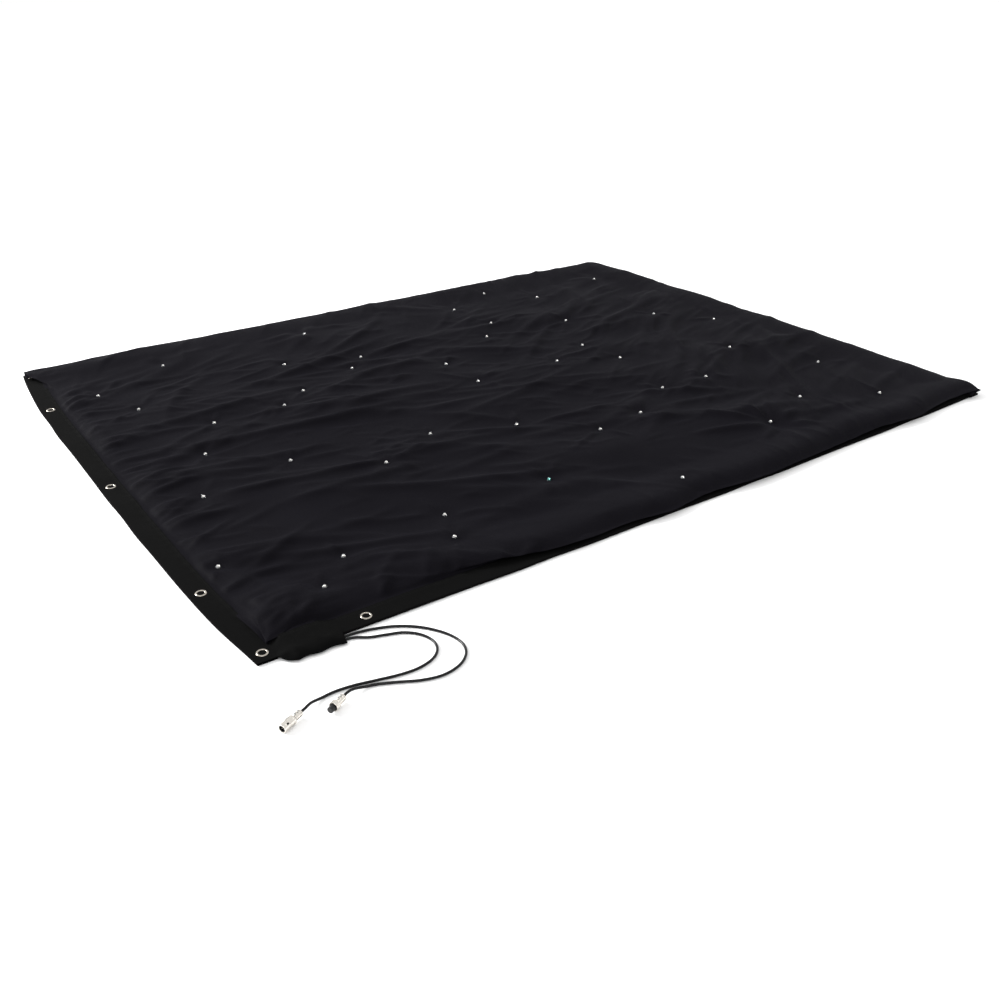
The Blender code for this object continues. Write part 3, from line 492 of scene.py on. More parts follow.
def make_piece(name: str, layers: list[tuple[Shape, Finish | tuple[Finish, ...]]],
               body: str = CLOTH_BODY, replaces: tuple[str, ...] = (),
               sharp: float = 35.0) -> bpy.types.Object:
    """Make a finished piece from shapes, each with its finish.

    Args:
        name: the piece's name.
        layers: shapes, each with its finish or with one finish for each of its lists of faces.
        body: the body that it moves with.
        replaces: nodes that it stands for.
        sharp: edges that turn by more than this many degrees stay sharp.

    Returns:
        The object.
    """
    whole = joined([shape for shape, _finish in layers])
    mesh = bpy.data.meshes.new(name)
    faces = [row for part in whole.faces for row in part.tolist()]
    mesh.from_pydata(whole.points.tolist(), [], faces)
    worn = [finish if isinstance(finish, tuple) else (finish,) * len(shape.faces) for shape, finish in layers]
    finishes = list(dict.fromkeys(finish for each in worn for finish in each))
    numbers = [np.full(len(part), finishes.index(finish)) for (shape, _finish), each in zip(layers, worn)
               for part, finish in zip(shape.faces, each)]
    mesh.polygons.foreach_set("material_index", np.concatenate(numbers).astype(np.int32))
    corners = np.zeros(len(mesh.loops), np.int32)
    mesh.loops.foreach_get("vertex_index", corners)
    layer = mesh.uv_layers.new(name="surface")
    layer.data.foreach_set("uv", whole.surface[corners].astype(np.float32).ravel())
    for finish in finishes:
        mesh.materials.append(finish.material())
    mesh.shade_smooth()
    mesh.set_sharp_from_angle(angle=math.radians(sharp))
    mesh.validate()
    piece = bpy.data.objects.new(name, mesh)
    bpy.context.scene.collection.objects.link(piece)
    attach(piece, body)
    if replaces:
        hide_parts(*replaces)
    LOG.info("%s: %d faces", name, len(faces))
    return piece


# ---------------------------------------------------------------- the cloth's outline


@dataclass(frozen=True)
class Outline:
    """Outline and layers of the laid cloth.

    A place on the cloth is measured from its front left corner, before the sides swell.
    """

    length: float = 2.0
    width: float = 1.5
    side_bow: float = 26.0 * MM
    front_bow: float = 12.0 * MM
    band: float = 45.0 * MM
    lining_top: float = 3.2 * MM
    cloth_top: float = 4.5 * MM
    band_top: float = 5.8 * MM

    def from_corner(self, x: Array, y: Array) -> Array:
        """Place in the frame of a place on the floor, measured from the front left corner."""
        return np.stack(np.broadcast_arrays(x - self.length / 2.0, y - self.width / 2.0), -1)

    def place(self, x: Array, y: Array) -> Array:
        """Place in the frame of a place on the cloth.

        The short sides move outward by side_bow (1 - c^4) and the long ones by
        front_bow (1 - a^2), where a and c run from -1 to 1 along and across the cloth. Inside,
        both fade in step with the distance from the middle.

        Args:
            x: distance along the cloth from its left edge.
            y: distance across it from its front edge.

        Returns:
            X and Y in the frame.
        """
        along = 2.0 * np.clip(x / self.length, 0.0, 1.0) - 1.0
        across = 2.0 * np.clip(y / self.width, 0.0, 1.0) - 1.0
        flat = self.from_corner(x, y)
        bow_x = self.side_bow * along * (1.0 - across ** 4)
        bow_y = self.front_bow * across * (1.0 - along ** 2)
        return flat + np.stack(np.broadcast_arrays(bow_x, bow_y), -1)


OUTLINE = Outline()

# Lamps of each string, in percent of the cloth's length and width, front to back
LAMP_STRINGS = {
    "lamp_string_1": ((10, 9), (14, 14), (4, 20), (8, 38), (12, 51), (10, 73), (7, 82)),
    "lamp_string_2": ((24, 10), (26, 16), (27, 33), (19, 42), (16, 61), (25, 61), (29, 65), (31, 78),
                      (17, 89)),
    "lamp_string_3": ((50, 5), (39, 16), (45, 34), (35, 38), (49, 52), (49, 62), (38, 70), (41, 74),
                      (38, 89)),
    "lamp_string_4": ((52, 25), (59, 26), (67, 32), (62, 52), (60, 70), (64, 76), (63, 87)),
    "lamp_string_5": ((70, 12), (79, 16), (74, 31), (70, 47), (69, 56), (74, 69), (78, 85), (72, 93)),
    "lamp_string_6": ((88, 9), (91, 25), (85, 39), (93, 53), (87, 62), (92, 88)),
}


def lamp_places(name: str) -> Array:
    """Places of one string's lamps in the frame."""
    shares = np.array(LAMP_STRINGS[name], float) / 100.0
    return OUTLINE.place(shares[:, 0] * OUTLINE.length, shares[:, 1] * OUTLINE.width)


def step(value: Array, start: float, end: float) -> Array:
    """Smooth step: 3t^2 - 2t^3, with t running from 0 at start to 1 at end."""
    t = np.clip((value - start) / (end - start), 0.0, 1.0)
    return t * t * (3.0 - 2.0 * t)


def bell(x: Array, y: Array, centre: tuple[float, float], half: tuple[float, float]) -> Array:
    """Round hill: exp(-(u^2 + v^2) / 2) with u, v the distances from its top over the half widths.

    Args:
        x: first distance.
        y: second distance.
        centre: the top's place.
        half: half width each way.

    Returns:
        From 0 to 1.
    """
    u = (x - centre[0]) / half[0]
    v = (y - centre[1]) / half[1]
    return np.exp(-0.5 * (u * u + v * v))


# ---------------------------------------------------------------- front cloth


class Side(Enum):
    """The four edges, each with the node of its band."""

    LEFT = "band_left"
    RIGHT = "band_right"
    FRONT = "band_front"
    BACK = "band_back"


@dataclass(frozen=True)
class Fold:
    """One long crease: a crest along a slightly bent line that dies away at both ends."""

    x: float
    y: float
    turn: float
    reach: float
    half_width: float
    height: float
    bend: float = 0.0

    def rise(self, x: Array, y: Array) -> Array:
        """Height that the fold adds.

        With u along the fold and v across it, shifted by bend u^2, the height is
        height / cosh(v / half_width)^1.5 times (1 - (u / reach)^2)^2.

        Args:
            x: distance along the cloth from its left edge.
            y: distance across it from its front edge.

        Returns:
            The height at each place.
        """
        cosine = math.cos(self.turn)
        sine = math.sin(self.turn)
        dx = x - self.x
        dy = y - self.y
        u = dx * cosine + dy * sine
        v = dy * cosine - dx * sine - self.bend * u * u
        taper = np.clip(1.0 - (u / self.reach) ** 2, 0.0, 1.0) ** 2
        return self.height * taper / np.cosh(np.clip(v / self.half_width, -30.0, 30.0)) ** 1.5


@dataclass
class FrontCloth:
    """Front cloth, cut wider than its frame of bands and held by the lamps.

    Its spare width lies in long folds that run from lamp to lamp and into the seams.

    Attributes:
        columns: points along the cloth.
        rows: points across it.
        end_rows: how many of them lie in the first and the last 40 mm.
        tuck: how far it reaches in under the bands.
        loft: its usual height over the lining.
        overhang: how far it can lie out over a band.
        over_wiring: its least height over the lamp cables.
        tallest: a height; the folds level off at 1.12 of it.
        dip: share of its height that it loses at a lamp.
        seed: start of the random draws.
        small_folds: number of folds drawn over the whole cloth.
        gathers: number of short folds that start at the seams.
        swells: height, length, direction and phase of each broad wave.
        front_lip: rise, droop and width of the droop where it overhangs the front band.
        other_lip: the same for the other three.
        pinched: the lamp that draws it together in a star of folds.
        star: direction in degrees and reach of those folds.
        folds: the folds, once drawn.
        long_folds: place, direction in degrees, reach, half width and height in millimetres, and
            bend of each fold that is laid out one by one.
        tree: its surface, for placing the lamps on it.
    """

    columns: int = 345
    rows: int = 285
    end_rows: int = 22
    tuck: float = 6.0 * MM
    loft: float = 7.0 * MM
    overhang: float = 68.0 * MM
    over_wiring: float = 4.6 * MM
    tallest: float = 17.0 * MM
    dip: float = 0.45
    seed: int = 21
    small_folds: int = 760
    gathers: int = 150
    swells: tuple[tuple[float, ...], ...] = (
        (2.4 * MM, 0.46, 1.3, 0.4), (2.0 * MM, 0.31, 1.9, 2.0), (1.6 * MM, 0.23, 0.9, 4.1),
        (1.2 * MM, 0.17, 1.5, 1.2),
    )
    front_lip: tuple[float, float, float] = (17.0 * MM, 11.0 * MM, 16.0 * MM)
    other_lip: tuple[float, float, float] = (10.0 * MM, 1.5 * MM, 9.0 * MM)
    pinched: tuple[float, float] = (1.40, 0.18)
    star: tuple[tuple[float, float], ...] = (
        (10.0, 0.055), (48.0, 0.075), (86.0, 0.065), (128.0, 0.10), (163.0, 0.12), (196.0, 0.07),
        (238.0, 0.05), (285.0, 0.05), (330.0, 0.06),
    )
    folds: list[Fold] = field(default_factory=list)
    long_folds: tuple[tuple[float, ...], ...] = (
        (1.70, 0.40, 62.0, 0.30, 13.0, 8.0, 0.3),
        (1.62, 0.34, 48.0, 0.26, 11.0, 6.5, -0.4),
        (1.82, 0.55, 70.0, 0.24, 12.0, 6.0, 0.2),
        (1.50, 0.52, 38.0, 0.30, 13.0, 6.5, 0.3),
        (1.36, 0.44, -30.0, 0.22, 11.0, 6.0, -0.3),
        (0.62, 0.33, -22.0, 0.34, 12.0, 7.5, 0.2),
        (0.42, 0.52, -8.0, 0.36, 11.0, 7.0, 0.1),
        (0.80, 0.52, -24.0, 0.30, 12.0, 7.0, -0.2),
        (0.50, 0.78, -4.0, 0.40, 11.0, 6.5, 0.1),
        (0.36, 0.98, 6.0, 0.34, 12.0, 6.5, -0.1),
        (0.66, 1.12, 14.0, 0.36, 12.0, 7.0, 0.1),
        (0.90, 1.26, 30.0, 0.26, 11.0, 6.5, 0.2),
        (0.34, 0.22, -16.0, 0.26, 10.0, 6.5, 0.3),
        (0.20, 0.30, 28.0, 0.14, 9.0, 5.0, 0.3),
        (1.04, 0.66, 12.0, 0.32, 12.0, 5.5, 0.2),
        (1.28, 0.92, 40.0, 0.28, 12.0, 6.0, 0.2),
        (1.70, 0.115, 3.0, 0.24, 9.0, 6.0, 0.2),
        (1.60, 0.165, -6.0, 0.20, 8.0, 5.0, 0.3),
        (1.84, 0.20, 14.0, 0.16, 9.0, 5.5, -0.3),
    )
    tree: BVHTree | None = None

    @staticmethod
    def lay(x: float, y: float) -> float:
        """Direction that folds take at a place: along the cloth with a slant on the left, and
        across it toward the back on the right.

        Args:
            x: distance along the cloth from its left edge.
            y: distance across it from its front edge.

        Returns:
            The direction in radians.
        """
        right = float(step(np.array(x), 1.05, 1.6))
        back = float(step(np.array(y), 0.95, 1.35))
        return math.radians(-14.0 + 52.0 * right * (1.0 - 0.5 * back) + 26.0 * back)

    def draw_folds(self) -> None:
        """Lay out the folds: across the whole cloth, from each lamp, and out of the seams."""
        draw = np.random.default_rng(self.seed)
        for number in range(self.small_folds):
            x = draw.uniform(0.05, OUTLINE.length - 0.05)
            y = draw.uniform(0.05, OUTLINE.width - 0.05)
            turn = self.lay(x, y) + math.radians(draw.normal(0.0, 19.0))
            size = draw.uniform(0.0, 1.0) ** 1.6 if number % 3 == 0 else 0.0
            self.folds.append(Fold(x, y, turn, draw.uniform(0.035, 0.09) + 0.20 * size,
                                   draw.uniform(5.0, 8.0) * MM + 10.0 * MM * size,
                                   draw.uniform(0.9, 2.2) * MM + 4.4 * MM * size, draw.normal(0.0, 0.7)))
        self.folds += [Fold(x, y, math.radians(turn), reach, half * MM, height * MM, bend)
                       for x, y, turn, reach, half, height, bend in self.long_folds]
        for shares in LAMP_STRINGS.values():
            for along, across in shares:
                self.fold_from_lamp(draw, OUTLINE.length * along / 100.0, OUTLINE.width * across / 100.0)
        for number in range(self.gathers):
            self.fold_from_seam(draw, number)
        for turn, reach in self.star:
            angle = math.radians(turn)
            self.folds.append(self.fold_out_of(*self.pinched, angle, reach, 6.0 * MM, 8.0 * MM,
                                               0.6 * math.sin(5.0 * angle)))

    @staticmethod
    def fold_out_of(x: float, y: float, turn: float, reach: float, half_width: float, height: float,
                    bend: float) -> Fold:
        """Fold that starts at a place, with its crest 0.95 of its reach away.

        Args:
            x: distance along the cloth of its start.
            y: distance across.
            turn: its direction in radians.
            reach: half its length.
            half_width: half its width.
            height: height of its crest.
            bend: how much it bends.

        Returns:
            The fold.
        """
        return Fold(x + 0.95 * reach * math.cos(turn), y + 0.95 * reach * math.sin(turn), turn, reach,
                    half_width, height, bend)

    def fold_from_lamp(self, draw: np.random.Generator, x: float, y: float) -> None:
        """Folds that run out of one lamp.

        Args:
            draw: the random draws.
            x: the lamp's distance along the cloth.
            y: its distance across.
        """
        count = draw.integers(4, 7)
        first = self.lay(x, y)
        for number in range(count):
            turn = first + math.radians(number * 360.0 / count + draw.normal(0.0, 14.0))
            near = abs(math.cos(turn - first))
            reach = (0.025 + 0.085 * near ** 2) * draw.uniform(0.7, 1.3)
            self.folds.append(self.fold_out_of(x, y, turn, reach, draw.uniform(5.0, 9.0) * MM,
                                               draw.uniform(1.8, 4.0) * MM, draw.normal(0.0, 1.5)))

    def fold_from_seam(self, draw: np.random.Generator, number: int) -> None:
        """Short gathers out of the left seam and, further apart, out of the other three.

        Args:
            draw: the random draws.
            number: the gather's number, which picks its seam.
        """
        seam = OUTLINE.band
        reach = draw.uniform(0.03, 0.11)
        lean = math.radians(draw.normal(0.0, 16.0))
        half = draw.uniform(5.0, 9.0) * MM
        height = draw.uniform(1.8, 4.8) * MM
        if number % 2 == 0:
            y = draw.uniform(seam, OUTLINE.width - seam)
            x = seam + 0.8 * reach
            turn = lean
        elif number % 4 == 1:
            x = draw.uniform(seam, OUTLINE.length - seam)
            y = seam + 0.8 * reach
            turn = math.pi / 2.0 - 0.5 + lean
        else:
            x = draw.uniform(seam, OUTLINE.length - seam)
            y = OUTLINE.width - seam - 0.8 * reach
            turn = math.pi / 2.0 - 0.7 + lean
        self.folds.append(Fold(x, y, turn, reach, half, height, draw.normal(0.0, 1.0)))

    @staticmethod
    def hang(side: Side, run: Array) -> Array:
        """How much of its overhang an edge has, in slow waves along it: the back and right edges
        all along, the front edge from the middle on, the left one at its far end, and the two at
        the front left corner a part of it.

        Args:
            side: the edge.
            run: distance along it.

        Returns:
            The share of the overhang.
        """
        phase = {Side.FRONT: 0.0, Side.BACK: 2.1, Side.LEFT: 0.7, Side.RIGHT: 4.0}[side]
        depth = 0.10 if side is Side.FRONT else 0.03
        wave = 1.0 - depth + depth * np.sin(run / 0.062 + phase + 1.6 * np.sin(run / 0.145))
        if side is Side.FRONT:
            return (1.08 * step(run, 0.28, 0.74) + 0.04 * step(run, 0.85, 1.2)
                    + 0.42 * (1.0 - step(run, 0.075, 0.150))) * wave
        if side is Side.LEFT:
            return (1.0 * step(run, 1.31, 1.42) + 0.42 * (1.0 - step(run, 0.06, 0.17))) * wave
        return 1.04 * wave

    def edges(self, x: Array, y: Array) -> list[tuple[Side, Array, Array]]:
        """Each side with the distance behind its tuck and the distance along it.

        Args:
            x: distance along the cloth from its left edge.
            y: distance across it from its front edge.

        Returns:
            For each side, the two distances.
        """
        tuck = OUTLINE.band - self.tuck
        return [(Side.LEFT, x - tuck, y), (Side.RIGHT, OUTLINE.length - x - tuck, y),
                (Side.FRONT, y - tuck, x), (Side.BACK, OUTLINE.width - y - tuck, x)]

    def spread(self, x: Array, y: Array) -> tuple[Array, Array]:
        """Where a place of the cloth lies, moved outward over the bands.

        The shift is overhang times hang, from nothing at 7 mm behind the tuck up to the full
        amount at 30 mm behind it, and it fades out over the next 180 mm.

        Args:
            x: distance along the cloth from its left edge.
            y: distance across it from its front edge.

        Returns:
            The two distances after the shift.
        """
        moved = {}
        for side, behind, run in self.edges(x, y):
            share = step(behind, 7.0 * MM, 30.0 * MM) * (1.0 - step(behind, 30.0 * MM, 210.0 * MM))
            moved[side] = self.overhang * self.hang(side, run) * share
        return x - moved[Side.LEFT] + moved[Side.RIGHT], y - moved[Side.FRONT] + moved[Side.BACK]

    def cover(self, x: Array, y: Array) -> Array:
        """Least height of the cloth over the wiring.

        It is a plateau over the junction box, a lower one over the leads to it, a ridge over the bus
        cable and a mound over its tail, each with soft sides.

        Args:
            x: distance along the cloth from its left edge.
            y: distance across it from its front edge.

        Returns:
            The height.
        """
        box = (step(x, 0.060, 0.084) * (1.0 - step(x, 0.160, 0.184))
               * step(y, 0.084, 0.103) * (1.0 - step(y, 0.153, 0.174)))
        leads = (step(x, 0.056, 0.074) * (1.0 - step(x, 0.128, 0.146)) * (1.0 - step(y, 0.110, 0.130)))
        bus = np.exp(-0.5 * ((y - 0.072) / 0.010) ** 2) * step(x, 0.17, 0.21) * (1.0 - step(x, 1.80, 1.86))
        tail = bell(x, y, (0.180, 0.100), (0.024, 0.024))
        base = self.over_wiring
        return np.maximum.reduce([base * step(y, 0.045, 0.060) + 16.0 * MM * box, base + 7.2 * MM * leads,
                                  base + 4.2 * MM * bus, base + 6.6 * MM * tail])

    def height(self, x: Array, y: Array) -> Array:
        """Height of the cloth: the loft, broad swells, the folds, dips at the lamps and the cover.

        Args:
            x: distance along the cloth from its left edge.
            y: distance across it from its front edge.

        Returns:
            The height.
        """
        edge = np.minimum(np.minimum(x, OUTLINE.length - x), np.minimum(y, OUTLINE.width - y))
        seam = OUTLINE.band - self.tuck
        # The loft takes 52 mm to grow in from the seam, and the folds 20 mm
        lift = step(edge, seam, seam + 52.0 * MM)
        start = step(edge, seam + 4.0 * MM, seam + 24.0 * MM)
        swell = sum(size * np.sin(2.0 * np.pi * (x * math.cos(turn) + y * math.sin(turn)) / long + phase)
                    for size, long, turn, phase in self.swells)
        rise = sum(fold.rise(x, y) for fold in self.folds)
        rise = 1.12 * self.tallest * np.tanh(rise / self.tallest)
        dip = np.zeros_like(x)
        for shares in LAMP_STRINGS.values():
            for along, across in shares:
                centre = (OUTLINE.length * along / 100.0, OUTLINE.width * across / 100.0)
                dip += bell(x, y, centre, (0.016, 0.016))
        pulled = bell(x, y, self.pinched, (0.022, 0.022))
        inside = ((self.loft + swell) * lift + rise * start) * (1.0 - self.dip * np.clip(dip, 0.0, 1.0))
        inside *= 1.0 - 0.7 * pulled
        height = OUTLINE.cloth_top - 1.0 * MM + inside
        for side, behind, run in self.edges(x, y):
            puffed, sag, fall = self.front_lip if side is Side.FRONT else self.other_lip
            puff = step(behind, 4.0 * MM, 13.0 * MM) * (1.0 - step(behind, 60.0 * MM, 150.0 * MM))
            droop = np.exp(-0.5 * ((behind - 30.0 * MM) / fall) ** 2)
            lip = self.hang(side, run) * (puffed * puff - sag * droop)
            height = np.maximum(height, OUTLINE.cloth_top + lip + 0.45 * inside)
        # Over the wiring, the higher of the two heights, with a soft crease where they meet
        under = self.spread(x, y)
        cover = self.cover(*under)
        soft = (1.2 + 2.6 * bell(*under, (0.122, 0.130), (0.045, 0.030))) * MM
        higher = 0.5 * (height + cover + np.sqrt((height - cover) ** 2 + soft ** 2))
        return np.where(edge > seam, higher, height)

    def closer_at_ends(self, span: float, count: int) -> Array:
        """Places from 0 to span, with end_rows of them in the first 40 mm and as many in the last.

        Args:
            span: the last place.
            count: number of places.

        Returns:
            The places.
        """
        near = np.linspace(0.0, 40.0 * MM, self.end_rows, endpoint=False)
        middle = np.linspace(40.0 * MM, span - 40.0 * MM, count - 2 * self.end_rows)
        return np.concatenate([near, middle, span - near[::-1]])

    def build(self) -> bpy.types.Object:
        """Make the front cloth.

        Returns:
            The cloth's object.
        """
        self.draw_folds()
        seam = OUTLINE.band - self.tuck
        across, along = np.meshgrid(self.closer_at_ends(OUTLINE.width - 2.0 * seam, self.rows) + seam,
                                    self.closer_at_ends(OUTLINE.length - 2.0 * seam, self.columns) + seam)
        flat = OUTLINE.place(*self.spread(along, across))
        points = np.concatenate([flat, self.height(along, across)[..., None]], -1)
        shape = Shape(points.reshape(-1, 3), [grid(self.columns, self.rows)],
                      np.stack([along, across], -1).reshape(-1, 2))
        piece = make_piece("front_cloth_folds", [(shape, FRONT_WEAVE)],
                           replaces=("front_cloth",), sharp=180.0)
        self.tree = BVHTree.FromObject(piece, bpy.context.evaluated_depsgraph_get())
        return piece


# ---------------------------------------------------------------- bands and lining


def along_side(side: Side, inward: Array, run: Array) -> tuple[Array, Array]:
    """Place on the cloth of a place on a band.

    Args:
        side: the edge.
        inward: distance in from the edge.
        run: distance along it, from the front or from the left.

    Returns:
        Distances along and across the cloth.
    """
    if side is Side.LEFT:
        return inward, run
    if side is Side.RIGHT:
        return OUTLINE.length - inward, run
    if side is Side.FRONT:
        return run, inward
    return run, OUTLINE.width - inward


def facing_out(shape: Shape) -> Shape:
    """Turn a closed shape's faces outward, by the sign of the volume that they enclose.

    Args:
        shape: a closed shape.

    Returns:
        The same shape, or one with its faces turned.
    """
    volume = 0.0
    for part in shape.faces:
        corners = shape.points[part]
        for last in range(2, part.shape[1]):
            cross = np.cross(corners[:, last - 1], corners[:, last])
            volume += float(np.einsum("ij,ij->", corners[:, 0], cross))
    if volume < 0.0:
        return Shape(shape.points, [part[:, ::-1] for part in shape.faces], shape.surface)
    return shape


@dataclass
class Bands:
    """Webbing bands folded round the four edges, sewn on with two rows of stitches."""

    base: float = 1.1 * MM
    thick: float = 0.9 * MM
    seam_inset: float = 3.2 * MM
    stitch_pitch: float = 5.0 * MM
    stitch_length: float = 3.4 * MM
    stitch_radius: float = 0.35 * MM
    exit_start: float = 58.0 * MM
    exit_end: float = 138.0 * MM
    exit_rise: float = 6.4 * MM
    bulge: float = 24.0 * MM

    def arch(self, run: Array) -> Array:
        """How far the front band's upper layer is lifted over the leads."""
        return self.exit_rise * (step(run, self.exit_start - 20.0 * MM, self.exit_start + 8.0 * MM)
                                 - step(run, self.exit_end - 8.0 * MM, self.exit_end + 20.0 * MM))

    def eyelet_calm(self, side: Side, run: Array) -> Array:
        """1 away from the eyelets and 0 at them, where their flanges hold the band flat.

        Args:
            side: the band's edge.
            run: distance along it.

        Returns:
            From 0 to 1.
        """
        calm = np.ones_like(run)
        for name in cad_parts:
            if not name.startswith("eyelet_"):
                continue
            low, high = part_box(name)
            if side in (Side.LEFT, Side.RIGHT):
                place = (low.y + high.y) / 2.0 + OUTLINE.width / 2.0
            else:
                place = (low.x + high.x) / 2.0 + OUTLINE.length / 2.0
            calm *= 1.0 - np.exp(-0.5 * ((run - place) / (24.0 * MM)) ** 2)
        return calm

    def upper(self, side: Side, inward: Array, run: Array) -> Array:
        """Height of the upper layer's top face.

        It is the band's flat height plus slow waves along the edge, small puckers at the seam and
        a groove under the stitches, all calm at the eyelets, plus the arch over the leads.

        Args:
            side: the band's edge.
            inward: distance in from the edge.
            run: distance along it.

        Returns:
            The height.
        """
        calm = self.eyelet_calm(side, run)
        phase = {Side.LEFT: 0.0, Side.RIGHT: 1.7, Side.FRONT: 3.1, Side.BACK: 4.6}[side]
        inner = step(inward, 18.0 * MM, OUTLINE.band)
        wave = 0.7 * MM * (1.0 + np.sin(2.0 * np.pi * run / 0.19 + phase + 2.0 * np.sin(run / 0.11)))
        pucker = 0.35 * MM * np.sin(2.0 * np.pi * run / 0.026 + 2.0 * np.sin(run / 0.037 + phase)) * inner
        seam = OUTLINE.band - self.seam_inset
        groove = sum(np.exp(-0.5 * ((inward - place) / (0.9 * MM)) ** 2) for place in (seam, seam - 3.5 * MM))
        height = OUTLINE.band_top + calm * (wave * (0.3 + 0.7 * inner) + pucker) - 0.3 * MM * groove
        if side is Side.FRONT:
            height = height + self.arch(run)
        return height

    def wrap(self, side: Side, start: float, end: float) -> Shape:
        """Band folded round the edge, between two places along it.

        Its section is a C: over the top, round a half circle at the edge, back below, and the
        same inside, one thickness in.

        Args:
            side: the band's edge.
            start: where it starts along the edge.
            end: where it ends.

        Returns:
            The closed band.
        """
        runs = np.linspace(start, end, max(2, int((end - start) / (6.0 * MM))))
        steps = 16
        flat = np.linspace(OUTLINE.band, 3.0 * MM, steps)
        bend = np.radians(np.linspace(80.0, -80.0, 7))
        radius = (OUTLINE.band_top - self.base) / 2.0
        outer_s = np.concatenate([flat, radius - radius * np.cos(bend), flat[::-4]])
        share = np.concatenate([np.ones(steps), 0.5 + 0.5 * np.sin(bend), np.zeros(4)])
        inner_r = radius - self.thick
        inner_s = np.concatenate([flat[::-4][::-1], radius - inner_r * np.cos(bend[::-1]), flat[::-1]])
        inner_share = np.concatenate([np.zeros(4), 0.5 + 0.5 * np.sin(bend[::-1]), np.ones(steps)])
        rows, sides = np.meshgrid(runs, np.concatenate([outer_s, inner_s]), indexing="ij")
        shares = np.concatenate([share, inner_share])[None, :]
        inset = np.concatenate([np.zeros(len(outer_s)), np.full(len(inner_s), self.thick)])[None, :]
        wobble = 0.8 * MM * np.sin(rows / 0.043 + 1.3 * np.sin(rows / 0.09))
        inward = sides + wobble * (1.0 - step(sides, 0.0, 20.0 * MM))
        top = self.upper(side, sides, rows)
        height = shares * (top - inset) + (1.0 - shares) * (self.base + inset)
        x, y = along_side(side, inward, rows)
        points = np.concatenate([OUTLINE.place(x, y), height[..., None]], -1)
        count = points.shape[1]
        shape = Shape(points.reshape(-1, 3), [grid(len(runs), count, wrap_columns=True)],
                      np.stack([sides, rows], -1).reshape(-1, 2))
        first = np.arange(count)[None, ::-1]
        shape.faces += [first, first[:, ::-1] + (len(runs) - 1) * count]
        return facing_out(shape)

    def hood(self) -> Shape:
        """Upper layer of the front band where the leads leave: a soft hood, lifted clear of them
        and bulging forward past the edge.

        Past the edge it comes down as a quarter of an ellipse, crumpled by two sets of waves. The
        bulge grows from the left and ends short on the right, with a small knob at its start.

        Returns:
            The closed hood.
        """
        runs = np.linspace(self.exit_start - 30.0 * MM, self.exit_end + 20.0 * MM, 98)
        rows, shares = np.meshgrid(runs, np.linspace(0.0, 1.0, 48), indexing="ij")
        grown = step(rows, self.exit_start - 26.0 * MM, self.exit_start + 6.0 * MM)
        knob_at = self.exit_start - 13.0 * MM
        # How far it stands out: the bulge, the knob and a waved edge
        bulge = self.bulge * grown * (1.0 - step(rows, self.exit_end + 8.0 * MM, self.exit_end + 15.0 * MM))
        bulge += 6.0 * MM * np.exp(-0.5 * ((rows - knob_at) / (5.5 * MM)) ** 2)
        bulge += 1.6 * MM * np.sin(rows / (7.0 * MM)) * grown
        inward = OUTLINE.band * (1.0 - shares) - bulge * shares
        past = np.clip(-inward / np.maximum(bulge + 0.5 * MM, 1e-6), 0.0, 1.0)
        # Its height: from the band's own down to a low rim, crumpled from behind
        low = 1.6 * MM
        top = self.upper(Side.FRONT, np.maximum(inward, 0.0), rows) + 0.15 * MM
        crumple = (0.6 * MM * np.sin(rows / (8.2 * MM) + 2.2 * np.sin(inward / (13.0 * MM)))
                   + 0.35 * MM * np.sin(rows / (4.7 * MM) - inward / (9.0 * MM) + 2.0 * np.sin(rows / 0.021)))
        crumple *= grown * step(OUTLINE.band - inward, 6.0 * MM, 20.0 * MM) * (1.0 - past ** 2)
        knob = 3.0 * MM * bell(rows, inward, (knob_at, -2.0 * MM), (6.0 * MM, 6.0 * MM))
        height = low + (top - low) * np.sqrt(1.0 - 0.98 * past ** 2)
        height += np.maximum(crumple, 0.0) + knob
        plane = OUTLINE.place(*along_side(Side.FRONT, np.maximum(inward, 0.0), rows))
        plane[..., 1] += np.minimum(inward, 0.0)
        inner = plane.copy()
        inner[..., 1] += self.thick * past
        layers = [np.concatenate([plane, height[..., None]], -1),
                  np.concatenate([inner, (height - self.thick * (1.0 - 0.6 * past))[..., None]], -1)]
        return slab(layers[0], layers[1], np.stack([inward, rows], -1))

    def lower(self) -> Shape:
        """Lower layer of the front band under the leads.

        Returns:
            The closed layer.
        """
        runs = np.linspace(self.exit_start - 4.0 * MM, self.exit_end + 4.0 * MM, 12)
        sides = np.linspace(1.5 * MM, OUTLINE.band, 6)
        rows, inward = np.meshgrid(runs, sides, indexing="ij")
        plane = OUTLINE.place(*along_side(Side.FRONT, inward, rows))
        heights = (self.base + self.thick, self.base)
        layers = [np.concatenate([plane, np.full(rows.shape, height)[..., None]], -1) for height in heights]
        return slab(layers[0], layers[1], np.stack([inward, rows], -1))

